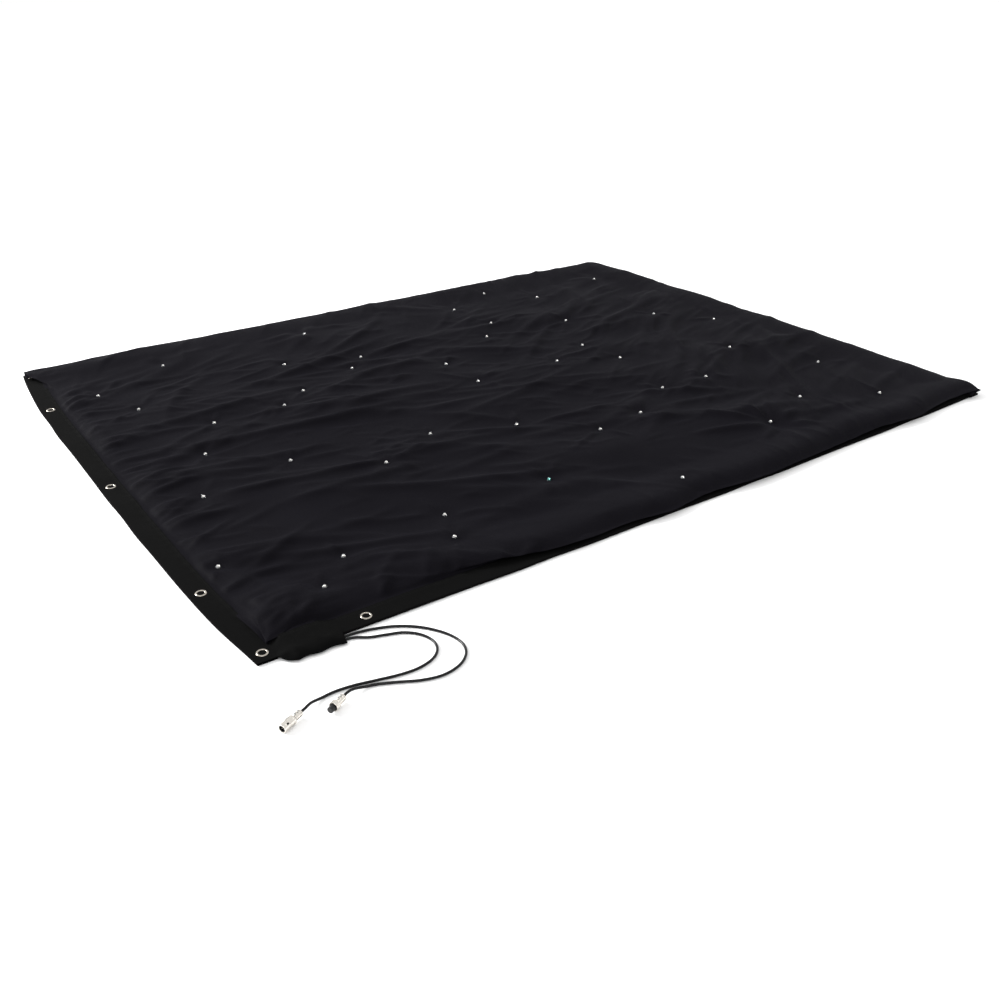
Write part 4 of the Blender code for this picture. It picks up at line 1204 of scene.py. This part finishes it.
    def stitches(self, side: Side, start: float, end: float) -> Shape:
        """Two rows of stitches along the seam.

        Each stitch is a bead of six by five points: its half width at share t of its length is
        the thread's radius times (1 - (2t - 1)^4), and it rises by the same share.

        Args:
            side: the band's edge.
            start: where they start along the edge.
            end: where they end.

        Returns:
            All the stitches.
        """
        seam = OUTLINE.band - self.seam_inset
        runs = np.arange(start + 4.0 * MM, end - 4.0 * MM, self.stitch_pitch)
        centre, inward = np.meshgrid(runs, [seam, seam - 3.5 * MM], indexing="ij")
        rings, around = 5, 6
        share = np.linspace(0.0, 1.0, rings)
        angle = np.arange(around) * 2.0 * np.pi / around
        size = self.stitch_radius * np.maximum(1.0 - (2.0 * share - 1.0) ** 4, 0.12)
        run = centre[..., None, None] + self.stitch_length * (share[:, None] - 0.5)
        run = np.broadcast_to(run, centre.shape + (rings, around))
        across = inward[..., None, None] + size[:, None] * np.cos(angle)
        across = np.broadcast_to(across, run.shape)
        top = self.upper(side, np.broadcast_to(inward[..., None, None], run.shape), run)
        height = top - 0.08 * MM + (size[:, None] * np.sin(angle) + 0.5 * size[:, None])
        points = np.concatenate([OUTLINE.place(*along_side(side, across, run)), height[..., None]], -1)
        one = grid(rings, around, wrap_columns=True)
        ends = np.stack([np.arange(around)[::-1], np.arange(around) + (rings - 1) * around])
        offsets = np.arange(centre.size)[:, None, None] * rings * around
        shape = Shape(points.reshape(-1, 3), [(one[None] + offsets).reshape(-1, 4),
                                              (ends[None] + offsets).reshape(-1, around)])
        return facing_out(shape)

    def build(self) -> None:
        """Make the four bands."""
        far = OUTLINE.length - OUTLINE.band - GAP
        near = OUTLINE.band + GAP
        for side in Side:
            if side in (Side.LEFT, Side.RIGHT):
                spans = [(0.0, OUTLINE.width)]
            elif side is Side.BACK:
                spans = [(near, far)]
            else:
                spans = [(near, self.exit_start), (self.exit_end, far)]
            cloth = [self.wrap(side, *span) for span in spans]
            sewn = [self.stitches(side, *span) for span in spans]
            if side is Side.FRONT:
                cloth += [self.hood(), self.lower()]
                sewn.append(self.stitches(side, self.exit_start, self.exit_end))
            layers = [(joined(cloth), BAND_WEAVE), (joined(sewn), THREAD)]
            make_piece(side.value + "_webbing", layers, replaces=(side.value,), sharp=50.0)


def slab(upper: Array, lower: Array, surface: Array) -> Shape:
    """Closed slab between two grids of points of the same size.

    Args:
        upper: points of the upper face.
        lower: points of the lower face.
        surface: the surface place of each.

    Returns:
        The slab, with a wall round its rim.
    """
    rows, columns = upper.shape[:2]
    count = rows * columns
    faces = grid(rows, columns)
    number = np.arange(count).reshape(rows, columns)
    rim = np.concatenate([number[:, 0], number[-1, 1:], number[-2::-1, -1], number[0, -2:0:-1]])
    after = np.roll(rim, -1)
    wall = np.stack([rim, after, after + count, rim + count], -1)
    points = np.vstack([upper.reshape(-1, 3), lower.reshape(-1, 3)])
    flat = surface.reshape(-1, 2)
    return facing_out(Shape(points, [faces, faces[:, ::-1] + count, wall[:, ::-1]], np.vstack([flat, flat])))


@dataclass
class Lining:
    """Back lining, lying almost flat on the lower layers of the bands."""

    rise: float = 0.18 * MM
    thick: float = 0.4 * MM

    def build(self) -> bpy.types.Object:
        """Make the lining.

        Returns:
            The lining's object.
        """
        inset = 4.0 * MM
        across, along = np.meshgrid(np.linspace(inset, OUTLINE.width - inset, 90),
                                    np.linspace(inset, OUTLINE.length - inset, 120))
        ripple = sum(np.sin((along * math.cos(turn) + across * math.sin(turn)) / long)
                     for turn, long in ((1.4, 0.021), (1.1, 0.034), (1.9, 0.05), (0.3, 0.043)))
        height = OUTLINE.lining_top - 0.35 * MM + 0.25 * self.rise * ripple
        plane = OUTLINE.place(along, across)
        layers = [np.concatenate([plane, (height - depth)[..., None]], -1) for depth in (0.0, self.thick)]
        shape = slab(layers[0], layers[1], np.stack([along, across], -1))
        piece = make_piece("back_lining_sheet", [(shape, LINING_WEAVE)],
                           replaces=("back_lining",), sharp=60.0)
        return piece


@dataclass
class Eyelets:
    """Set eyelets: a rolled flange above, a barrel, and a rolled washer below."""

    sides: int = 48

    def profile(self) -> Array:
        """Half section, down the outer side and up the bore, in millimetres.

        Returns:
            Radius and height, one pair a row.
        """
        return np.array([
            (6.80, 5.60), (6.88, 6.15), (7.15, 6.60), (7.60, 6.84), (8.20, 6.90), (8.90, 6.84), (9.55, 6.65),
            (10.05, 6.38), (10.25, 6.12), (10.12, 6.02), (8.20, 6.06), (7.80, 5.80), (7.80, 1.10),
            (8.20, 0.84), (10.12, 0.88), (10.25, 0.72), (10.05, 0.45), (9.40, 0.15), (8.60, 0.02),
            (7.90, 0.02), (7.20, 0.22), (6.88, 0.60), (6.80, 1.20),
        ]) * MM

    def build(self) -> None:
        """Make an eyelet in the place of each eyelet node."""
        profile = self.profile()
        ring = facing_out(lathe(profile, self.sides, breaks=(len(profile) - 1,)))
        for name in sorted(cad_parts):
            if name.startswith("eyelet_"):
                low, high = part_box(name)
                place = Matrix.Translation(((low.x + high.x) / 2.0, (low.y + high.y) / 2.0, 0.0))
                # The bore wall gets painted shade, for the shade inside the hole; the rest is rolled nickel
                make_piece(name + "_set", [(ring.moved(place), (ROLLED_NICKEL, PAINTED_SHADE_HOLLOW))],
                           replaces=(name,), sharp=60.0)


# ---------------------------------------------------------------- lamps and their cables


@dataclass
class LampStrings:
    """Lamps on six thin cables: each a clear lens with a flange over the cloth, a black sleeve
    with two solder bulges below it, and the cable that goes on to the next lamp."""

    cloth: FrontCloth
    lens_radius: float = 3.3 * MM
    lens_height: float = 5.2 * MM
    flange: float = 4.3 * MM
    sleeve: float = 3.4 * MM
    cable_radius: float = 1.1 * MM
    lean: float = 0.45
    bus_across: float = 72.0 * MM
    tinted: tuple[str, int] = ("lamp_string_3", 1)

    def lens(self) -> Shape:
        """Lens: a straight wall, a dome over it and a flange at its foot.

        Returns:
            The lens, with its foot at height 0.
        """
        turn = np.radians(np.linspace(90.0, 0.0, 9))
        dome = np.stack([self.lens_radius * np.cos(turn),
                         self.lens_height - self.lens_radius * (1.0 - np.sin(turn))], -1)
        foot = np.array([(self.lens_radius, 1.3 * MM), (self.flange - 0.2 * MM, 1.1 * MM),
                         (self.flange, 0.9 * MM), (self.flange, 0.3 * MM),
                         (self.lens_radius, 0.1 * MM), (self.lens_radius, -1.0 * MM), (0.0, -1.0 * MM)])
        return facing_out(lathe(np.vstack([dome, foot]), 20))

    def cup(self) -> Shape:
        """Reflector cup inside the lens, that lights it up."""
        rows = np.array([(0.0, 1.0), (0.5, 1.0), (1.6, 2.1), (1.9, 2.1), (1.9, 0.4), (0.0, 0.4)])
        return facing_out(lathe(rows * MM, 14))

    def socket(self) -> Shape:
        """Shrink sleeve below the cloth.

        Returns:
            The sleeve.
        """
        rows = np.array([(0.0, -1.1), (0.75, -1.1), (1.0, -1.5), (1.0, -2.5), (0.84, -2.9), (1.0, -3.3),
                         (0.9, -4.0), (0.0, -4.1)])
        return facing_out(lathe(np.stack([rows[:, 0] * self.sleeve, rows[:, 1] * MM], -1), 14))

    def frames(self, name: str) -> list[Matrix]:
        """Place of each lamp on the cloth, part of the way from upright to the cloth's normal.

        Args:
            name: the string's node.

        Returns:
            One matrix a lamp.
        """
        frames = []
        down = Vector((0.0, 0.0, -1.0))
        for x, y in lamp_places(name):
            hit, normal, _index, _distance = self.cloth.tree.ray_cast(Vector((x, y, 1.0)), down)
            axis = (self.lean * normal + Vector((0.0, 0.0, 1.0 - self.lean))).normalized()
            frames.append(Matrix.Translation(hit) @ axis.to_track_quat("Z", "Y").to_matrix().to_4x4())
        return frames

    def cable(self, frames: list[Matrix]) -> Shape:
        """Cable through the lamps' sleeves, lying on the lining between them.

        Args:
            frames: places of the lamps.

        Returns:
            The cable.
        """
        knots = [np.array(lamp @ Vector((0.0, 0.0, -2.6 * MM))) for lamp in frames]
        bus = self.bus_across - OUTLINE.width / 2.0
        side = math.copysign(1.0, knots[0][1] - bus)
        start = np.array([knots[0][0] + 14.0 * MM, bus + 2.1 * MM * side, OUTLINE.lining_top + 2.2 * MM])
        route = [start, start + np.array([-2.0 * MM, 3.0 * MM * side, 0.0])]
        low = OUTLINE.lining_top + self.cable_radius + GAP
        for before, after in zip([route[-1]] + knots, knots):
            span = np.linalg.norm(after - before)
            if span > 60.0 * MM:
                for share in (0.2, 0.4, 0.6, 0.8):
                    place = before + (after - before) * share
                    swerve = 0.05 * span * math.sin(2.0 * math.pi * share)
                    place[:2] += swerve * np.array([-(after - before)[1], (after - before)[0]]) / span
                    place[2] = low
                    route.append(place)
            route.append(after)
        return facing_out(sweep(smooth_line(np.array(route), 8.0 * MM), circle(self.cable_radius, 8)))

    def build(self) -> None:
        """Make the six strings."""
        for name in LAMP_STRINGS:
            frames = self.frames(name)
            clear = [self.lens().moved(lamp) for lamp in frames]
            cups = [self.cup().moved(lamp) for lamp in frames]
            sockets = [self.socket().moved(lamp) for lamp in frames]
            layers = [(joined(cups), NICKEL), (joined(sockets + [self.cable(frames)]), SLEEVE)]
            if name == self.tinted[0]:
                layers.append((clear.pop(self.tinted[1]), TEAL_LENS))
            layers.append((joined(clear), LENS))
            make_piece(name + "_wired", layers, replaces=(name,), sharp=40.0)


def smooth_line(knots: Array, gap: float) -> Array:
    """Points about one gap apart on a Catmull-Rom curve through the knots.

    Between two knots, with t from 0 to 1, the point is half of 2 b + (c - a) t
    + (2 a - 5 b + 4 c - d) t^2 + (3 b - a - 3 c + d) t^3, for the four knots a to d around it.

    Args:
        knots: the places that the curve passes.
        gap: distance between its points.

    Returns:
        The points.
    """
    padded = np.vstack([2.0 * knots[0] - knots[1], knots, 2.0 * knots[-1] - knots[-2]])
    parts = []
    for a, b, c, d in zip(padded, padded[1:], padded[2:], padded[3:]):
        count = max(1, round(float(np.linalg.norm(c - b)) / gap))
        t = (np.arange(count) / count)[:, None]
        parts.append(0.5 * (2.0 * b + (c - a) * t + (2.0 * a - 5.0 * b + 4.0 * c - d) * t ** 2
                            + (3.0 * b - a - 3.0 * c + d) * t ** 3))
    return np.vstack(parts + [knots[-1:]])


# ---------------------------------------------------------------- leads


@dataclass(frozen=True)
class Route:
    """Way of one lead over the floor, in metres from the cloth's front left corner.

    Attributes:
        gland: place of its gland along the front of the junction box.
        points: the places that it passes.
        rear: the rear of its connector.
        heading: the connector's direction in degrees.
        length: what the lead measures.
    """

    gland: float
    points: tuple[tuple[float, float], ...]
    rear: tuple[float, float]
    heading: float
    length: float


INPUT_ROUTE = Route(
    gland=0.099,
    points=(
        (0.096, 0.061), (0.089, 0.046), (0.082, 0.032), (0.079, 0.018), (0.082, 0.004),
        (0.093, -0.009), (0.112, -0.0155), (0.140, -0.0165), (0.163, -0.021), (0.184, -0.034),
        (0.209, -0.043), (0.237, -0.054), (0.257, -0.074), (0.265, -0.100), (0.258, -0.124),
        (0.237, -0.141), (0.206, -0.148), (0.172, -0.145), (0.138, -0.137), (0.100, -0.128),
        (0.066, -0.125), (0.034, -0.130),
    ),
    rear=(0.004, -0.145),
    heading=205.0,
    length=0.606,
)
OUTPUT_ROUTE = Route(
    gland=0.124,
    points=(
        (0.122, 0.061), (0.116, 0.047), (0.110, 0.034), (0.108, 0.020), (0.113, 0.006),
        (0.126, -0.005), (0.146, -0.0095), (0.170, -0.011), (0.202, -0.018), (0.236, -0.032),
        (0.268, -0.057), (0.292, -0.092), (0.301, -0.126), (0.293, -0.155), (0.268, -0.176),
        (0.232, -0.184), (0.196, -0.176), (0.160, -0.158), (0.128, -0.144), (0.100, -0.140),
    ),
    rear=(0.073, -0.149),
    heading=208.0,
    length=0.605,
)


@dataclass
class Leads:
    """The two leads: round jackets that leave their glands inside the edge, cross the lining,
    come out under the front band's hood and lie on the floor up to their connectors."""

    radius: float = 2.35 * MM
    sides: int = 20
    start: float = 85.7 * MM
    gland_height: float = 8.25 * MM
    axis_height: float = 8.1 * MM
    straight: float = 12.0 * MM
    fall: float = 40.0 * MM
    fall_inside: float = 30.0 * MM

    def path(self, route: Route) -> Array:
        """Centre line of a lead.

        It falls from the gland onto the lining, down over the edge onto the floor, and up again to
        the connector's axis, each by a smooth step over the length of that fall.

        Args:
            route: the lead's way.

        Returns:
            The points of the line.
        """
        axis = np.array([math.cos(math.radians(route.heading)), math.sin(math.radians(route.heading))])
        start = OUTLINE.from_corner(route.gland, self.start)
        end = OUTLINE.from_corner(*route.rear) - GAP * axis
        knots = [start, start - [0.0, self.straight]]
        knots += [OUTLINE.from_corner(*point) for point in route.points]
        knots += [end - self.straight * axis, end]
        flat = smooth_line(np.array(knots), 3.5 * MM)
        length = np.concatenate([[0.0], np.cumsum(np.linalg.norm(np.diff(flat, axis=0), axis=1))])
        inside = OUTLINE.lining_top + GAP + self.radius
        outside = self.radius + GAP
        edge = np.argmax(flat[:, 1] < OUTLINE.place(0.13, 0.0)[1])
        height = inside + (outside - inside) * step(length - length[edge], 0.0, self.fall / 2.0)
        height += (self.gland_height - inside) * (1.0 - step(length, 0.0, self.fall_inside))
        to_plug = length[-1] - self.straight - self.fall
        height += (self.axis_height - outside) * step(length, to_plug, to_plug + self.fall)
        return np.concatenate([flat, height[:, None]], 1)

    def build(self) -> None:
        """Make both leads."""
        for kind, route in (("input", INPUT_ROUTE), ("output", OUTPUT_ROUTE)):
            path = self.path(route)
            measured = float(np.linalg.norm(np.diff(path, axis=0), axis=1).sum())
            LOG.info("%s lead: %.3f m", kind, measured)
            tube = facing_out(sweep(path, circle(self.radius, self.sides)))
            piece = make_piece(kind + "_lead_jacket", [(tube, JACKET)], replaces=(kind + "_lead",))
            others = [f"{kind}_gland", f"{kind}_clamp_screw_1", f"{kind}_clamp_screw_2"]
            others += [f"{kind}_{part}_{made}" for part, made in
                       (("shell", "turned"), ("insert", "moulded"), ("clamp", "saddle"))]
            if kind == "output":
                others.append("coupling_ring_knurled")
            else:
                others += [f"input_pin_{number}" for number in (1, 2, 3, 4)]


# ---------------------------------------------------------------- connectors


def part_turn(profile: Array, start: float, end: float, sides: int) -> Shape:
    """Closed solid that a loop profile sweeps through part of a turn about Z.

    Args:
        profile: radius and height, one pair a row, as a loop.
        start: first angle in degrees.
        end: last angle in degrees.
        sides: number of steps.

    Returns:
        The shape, with flat ends.
    """
    angles = np.radians(np.linspace(start, end, sides + 1))[:, None]
    points = np.stack(np.broadcast_arrays(profile[:, 0] * np.cos(angles), profile[:, 0] * np.sin(angles),
                                          profile[:, 1]), -1)
    count = len(profile)
    first = np.arange(count)[None, :]
    last = first[:, ::-1] + sides * count
    return facing_out(Shape(points.reshape(-1, 3), [grid(sides + 1, count, wrap_columns=True), first[:, ::-1],
                                                    last[:, ::-1]]))


def fluted(shape: Shape, low: float, high: float, least: float, count: int, depth: float) -> Shape:
    """Cut flutes into a turned shape between two heights.

    Where a point is further out than least, its radius falls by depth (1 - cos(count a)) / 2 at
    angle a.

    Args:
        shape: the turned shape.
        low: where the flutes start.
        high: where they end.
        least: radius under which nothing is cut.
        count: number of flutes.
        depth: their depth.

    Returns:
        The fluted shape.
    """
    radius = np.hypot(shape.points[:, 0], shape.points[:, 1])
    angle = np.arctan2(shape.points[:, 1], shape.points[:, 0])
    chosen = (shape.points[:, 2] > low) & (shape.points[:, 2] < high) & (radius > least)
    cut = np.where(chosen, 0.5 * depth * (1.0 - np.cos(count * angle)), 0.0)
    scale = (radius - cut) / np.maximum(radius, 1e-9)
    points = shape.points * np.stack([scale, scale, np.ones_like(scale)], -1)
    return Shape(points, shape.faces, shape.surface)


@dataclass
class Connectors:
    """The two round four-pole connectors, each along its own Z with -X up."""

    axis_height: float = 8.1 * MM
    sides: int = 64

    def place(self, route: Route) -> Matrix:
        """Place of a connector's rear face.

        Args:
            route: the way of its lead.

        Returns:
            The place as a matrix.
        """
        x, y = OUTLINE.from_corner(*route.rear)
        lie = Matrix.Rotation(math.radians(route.heading), 4, "Z") @ Matrix.Rotation(math.pi / 2.0, 4, "Y")
        return Matrix.Translation((x, y, self.axis_height)) @ lie

    def turned(self, rows: list[tuple[float, float]], sides: int | None = None,
               breaks: tuple[int, ...] = ()) -> Shape:
        """Turned shape from a profile in millimetres."""
        return lathe(np.array(rows) * MM, sides or self.sides, breaks)

    def sleeve(self) -> list[Shape]:
        """Rear of a shell: a closed collar, and the lower half of the sleeve behind the clamp.

        Returns:
            The collar and the half sleeve.
        """
        collar = self.turned([(4.30, 0.15), (4.45, 0.0), (5.45, 0.0), (5.70, 0.25), (5.70, 1.85), (5.55, 2.0),
                              (4.30, 2.0)])
        trough = np.array([(4.3, 1.9), (5.7, 1.9), (5.7, 15.2), (4.3, 15.2)]) * MM
        return [facing_out(collar), part_turn(trough, -80.0, 80.0, 32)]

    def clamp(self) -> Shape:
        """Clamp: the upper half of the sleeve with softened edges and two flats for its screws.

        Returns:
            The clamp.
        """
        saddle = np.array([(4.4, 2.5), (4.6, 2.3), (5.5, 2.3), (5.72, 2.6), (5.72, 5.0), (5.5, 5.2),
                           (5.5, 6.4), (5.72, 6.6), (5.72, 10.6), (5.5, 10.8), (5.5, 12.0), (5.72, 12.2),
                           (5.72, 14.3), (5.5, 14.6), (4.6, 14.6), (4.4, 14.4)]) * MM
        return part_turn(saddle, 94.0, 266.0, 32)

    def input_shell(self) -> list[Shape]:
        """Shell of the input connector: a fluted barrel, two grooves and a thin mouth.

        Returns:
            The barrel, in a list.
        """
        rows = [(4.30, 15.2), (5.20, 15.2), (5.70, 15.4), (5.85, 16.6), (7.10, 17.0), (7.45, 17.4),
                (7.50, 18.0), (7.50, 20.0), (7.20, 20.3), (7.20, 20.9), (7.45, 21.2), (7.45, 29.0),
                (7.20, 29.3), (7.20, 29.9), (7.40, 30.2), (7.35, 36.0), (7.05, 36.3), (7.05, 36.9),
                (7.15, 37.2), (7.10, 40.8), (6.90, 41.6), (6.55, 42.0), (5.75, 42.0), (5.45, 41.7),
                (5.45, 19.4), (5.20, 19.0), (4.30, 19.0)]
        barrel = fluted(self.turned(rows), 21.1 * MM, 29.1 * MM, 7.3 * MM, 32, 0.35 * MM)
        return [facing_out(barrel)]

    def key_window(self) -> Shape:
        """Inlay in the barrel where the key shows through, in painted shade for the shade in the window over
        the black key.
        """
        inlay = np.array([(6.9, 31.2), (7.46, 31.2), (7.46, 35.0), (6.9, 35.0)]) * MM
        return part_turn(inlay, 129.0, 153.0, 12)

    def input_insert(self) -> Shape:
        """Insert of the input connector: a cup whose floor holds the pins.

        Returns:
            The cup.
        """
        rows = [(0.0, 33.0), (4.40, 33.0), (4.60, 33.3), (4.60, 41.3), (4.80, 41.5), (5.00, 41.5),
                (5.10, 41.3), (5.10, 21.1), (5.00, 21.0), (0.0, 21.0)]
        return facing_out(self.turned(rows[::-1]))

    def output_shell(self) -> list[Shape]:
        """Shell of the output connector: a necked sleeve with a collar that the ring turns on.

        Returns:
            The sleeve, in a list.
        """
        rows = [(4.30, 15.2), (5.50, 15.2), (5.70, 15.4), (5.70, 16.0), (5.50, 16.2), (5.20, 16.4),
                (5.20, 19.5), (6.00, 19.5), (6.20, 19.7), (6.20, 20.5), (6.00, 20.7), (5.20, 20.7),
                (5.20, 23.3), (5.00, 23.5), (4.40, 23.5), (4.30, 23.4)]
        return [facing_out(self.turned(rows))]

    def ring(self) -> Shape:
        """Coupling ring: fluted outside, plain inside with painted shade there, open toward the front.

        Returns:
            The ring.
        """
        rows = [(6.85, 26.3), (7.10, 26.5), (7.45, 26.5), (7.75, 26.2), (7.80, 25.7), (7.80, 24.6),
                (7.55, 24.3), (7.55, 23.9), (7.80, 23.6), (7.80, 18.3), (7.55, 18.0), (7.55, 17.6),
                (7.78, 17.3), (7.70, 16.8), (7.40, 16.5), (5.70, 16.5), (5.52, 16.7), (5.52, 19.0),
                (5.70, 19.2), (6.80, 19.2)]
        # The last three bands of the profile, inside the ring, take the painted shade
        ring = self.turned(rows, 128, breaks=(len(rows) - 3,))
        return facing_out(fluted(ring, 18.2 * MM, 23.7 * MM, 7.7 * MM, 32, 0.45 * MM))

    def output_insert(self) -> list[Shape]:
        """Insert of the output connector: a ribbed black plug with four sockets in its face, drawn as thin
        discs of painted shade for the socket holes.

        Returns:
            The plug and, after it, the four sockets.
        """
        rows = [(0.0, 16.6), (3.80, 16.6), (4.00, 16.8), (4.00, 23.6), (4.20, 23.8), (4.90, 23.8),
                (5.05, 24.0), (5.05, 34.6), (4.80, 35.2), (4.40, 35.5), (0.0, 35.5)]
        plug = fluted(self.turned(rows, 96), 24.6 * MM, 34.4 * MM, 5.0 * MM, 16, 0.40 * MM)
        spot = self.turned([(0.0, 35.56), (0.55, 35.56), (0.95, 35.62), (1.05, 35.5), (1.05, 35.3),
                            (0.0, 35.3)], 16)
        spots = [facing_out(spot.moved(Matrix.Rotation(math.pi / 4.0 + turn * math.pi / 2.0, 4, "Z")
                                       @ Matrix.Translation((2.6 * MM, 0.0, 0.0)))) for turn in range(4)]
        return [facing_out(plug)] + spots

    def build(self) -> None:
        """Make both connectors."""
        for kind, route in (("input", INPUT_ROUTE), ("output", OUTPUT_ROUTE)):
            place = self.place(route)
            front = self.input_shell() if kind == "input" else self.output_shell()
            layers = [(joined([shape.moved(place) for shape in self.sleeve() + front]), NICKEL)]
            if kind == "input":
                # Key window in painted shade
                layers.append((self.key_window().moved(place), PAINTED_SHADE_HOLLOW))
            make_piece(kind + "_shell_turned", layers, replaces=(kind + "_shell",))
            make_piece(kind + "_clamp_saddle", [(self.clamp().moved(place), NICKEL)],
                       replaces=(kind + "_clamp",))
        face = [(self.input_insert().moved(self.place(INPUT_ROUTE)), BLACK_PLASTIC)]
        make_piece("input_insert_moulded", face, replaces=("input_insert",))
        place = self.place(OUTPUT_ROUTE)
        plug, *spots = self.output_insert()
        sockets = joined([spot.moved(place) for spot in spots])
        # Socket discs in painted shade, standing for the shade in the holes
        layers = [(plug.moved(place), BLACK_PLASTIC), (sockets, PAINTED_SHADE_HOLLOW)]
        make_piece("output_insert_moulded", layers, replaces=("output_insert",))
        make_piece("coupling_ring_knurled", [(self.ring().moved(place), (NICKEL, PAINTED_SHADE_HOLLOW))],
                   body=RING_BODY, replaces=("coupling_ring",))


def dress_kept_nodes() -> None:
    """Give every node that stays as it is the finish of what it is made of."""
    finishes = {"junction_base": BLACK_PLASTIC, "junction_lid": BLACK_PLASTIC, "junction_board": BOARD,
                "terminal_block": TERMINAL, "bus_cable": JACKET}
    finishes |= {f"{kind}_gland": RUBBER for kind in ("input", "output")}
    finishes |= {f"lid_screw_{number}": STEEL for number in (1, 2)}
    finishes |= {f"input_pin_{number}": SILVER for number in (1, 2, 3, 4)}
    finishes |= {f"{kind}_clamp_screw_{number}": STEEL for kind in ("input", "output") for number in (1, 2)}
    for name, finish in finishes.items():
        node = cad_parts[name]
        material = finish.material()
        for slot in node.material_slots:
            slot.material = material
        LOG.info("%s: %s", name, finish.name)


# ---------------------------------------------------------------- studio


@dataclass
class Studio:
    """Pale seamless floor, soft lights and the camera."""

    eye: tuple[float, float, float] = (-1.44589, -1.96197, 0.97313)
    ahead: tuple[float, float, float] = (0.49599, 0.7274966, -0.47407)
    up: tuple[float, float, float] = (0.266151, 0.39231, 0.880487)
    lens: float = 35.8
    shift: float = 0.043

    def build(self) -> None:
        """Make the camera, the floor and the lights."""
        self.add_camera()
        self.add_floor()
        self.add_lights()

    def add_camera(self) -> None:
        """Stand the camera at eye height off the front left corner."""
        data = bpy.data.cameras.new("camera")
        data.lens = self.lens
        data.sensor_width = 36.0
        data.shift_x = self.shift
        data.clip_end = 50.0
        camera = bpy.data.objects.new("camera", data)
        bpy.context.scene.collection.objects.link(camera)
        ahead = Vector(self.ahead).normalized()
        up = Vector(self.up).normalized()
        right = ahead.cross(up).normalized()
        turn = Matrix((right, right.cross(ahead), -ahead)).transposed()
        camera.matrix_world = Matrix.Translation(self.eye) @ turn.to_4x4()
        bpy.context.scene.camera = camera

    def add_floor(self) -> None:
        """Wide plain floor."""
        mesh = bpy.data.meshes.new("floor")
        reach = 30.0
        corners = [(-reach, -reach, 0.0), (reach, -reach, 0.0), (reach, reach, 0.0), (-reach, reach, 0.0)]
        mesh.from_pydata(corners, [], [(0, 1, 2, 3)])
        material = bpy.data.materials.new("floor_paint")
        material.use_nodes = True
        shader = material.node_tree.nodes["Principled BSDF"]
        shader.inputs["Base Color"].default_value = (0.93, 0.93, 0.93, 1.0)
        shader.inputs["Roughness"].default_value = 0.9
        shader.inputs["Specular IOR Level"].default_value = 0.0
        mesh.materials.append(material)
        floor = bpy.data.objects.new("floor", mesh)
        bpy.context.scene.collection.objects.link(floor)

    def add_lights(self) -> None:
        """A broad light from behind, a weak one from the front, a soft one off the far left corner
        and a white world.

        The view transform is Standard, because the default one lifts black cloth to grey.
        """
        world = bpy.data.worlds.new("studio")
        world.use_nodes = True
        background = world.node_tree.nodes["Background"]
        background.inputs["Color"].default_value = (1.0, 1.0, 1.0, 1.0)
        background.inputs["Strength"].default_value = 1.0
        bpy.context.scene.world = world
        bpy.context.scene.view_settings.view_transform = "Standard"
        for name, place, kind, size, power in (("back_light", (-1.6, 2.6, 1.5), "SUN", 22.0, 2.2),
                                               ("front_light", (-2.0, -2.5, 3.0), "SUN", 40.0, 0.6),
                                               ("left_light", (-3.4, 3.0, 2.4), "AREA", 2.0, 330.0)):
            data = bpy.data.lights.new(name, kind)
            if kind == "SUN":
                data.angle = math.radians(size)
            else:
                data.shape = "DISK"
                data.size = size
            data.energy = power
            light = bpy.data.objects.new(name, data)
            light.location = place
            light.rotation_euler = (-Vector(place)).to_track_quat("-Z", "Y").to_euler()
            bpy.context.scene.collection.objects.link(light)


def main() -> None:
    """Build the object and the studio."""
    logging.basicConfig(level=logging.INFO, format="%(message)s")
    Studio().build()
    cloth = FrontCloth()
    cloth.build()
    Bands().build()
    Lining().build()
    Eyelets().build()
    LampStrings(cloth).build()
    Connectors().build()
    Leads().build()
    dress_kept_nodes()


if __name__ == "__main__":
    main()
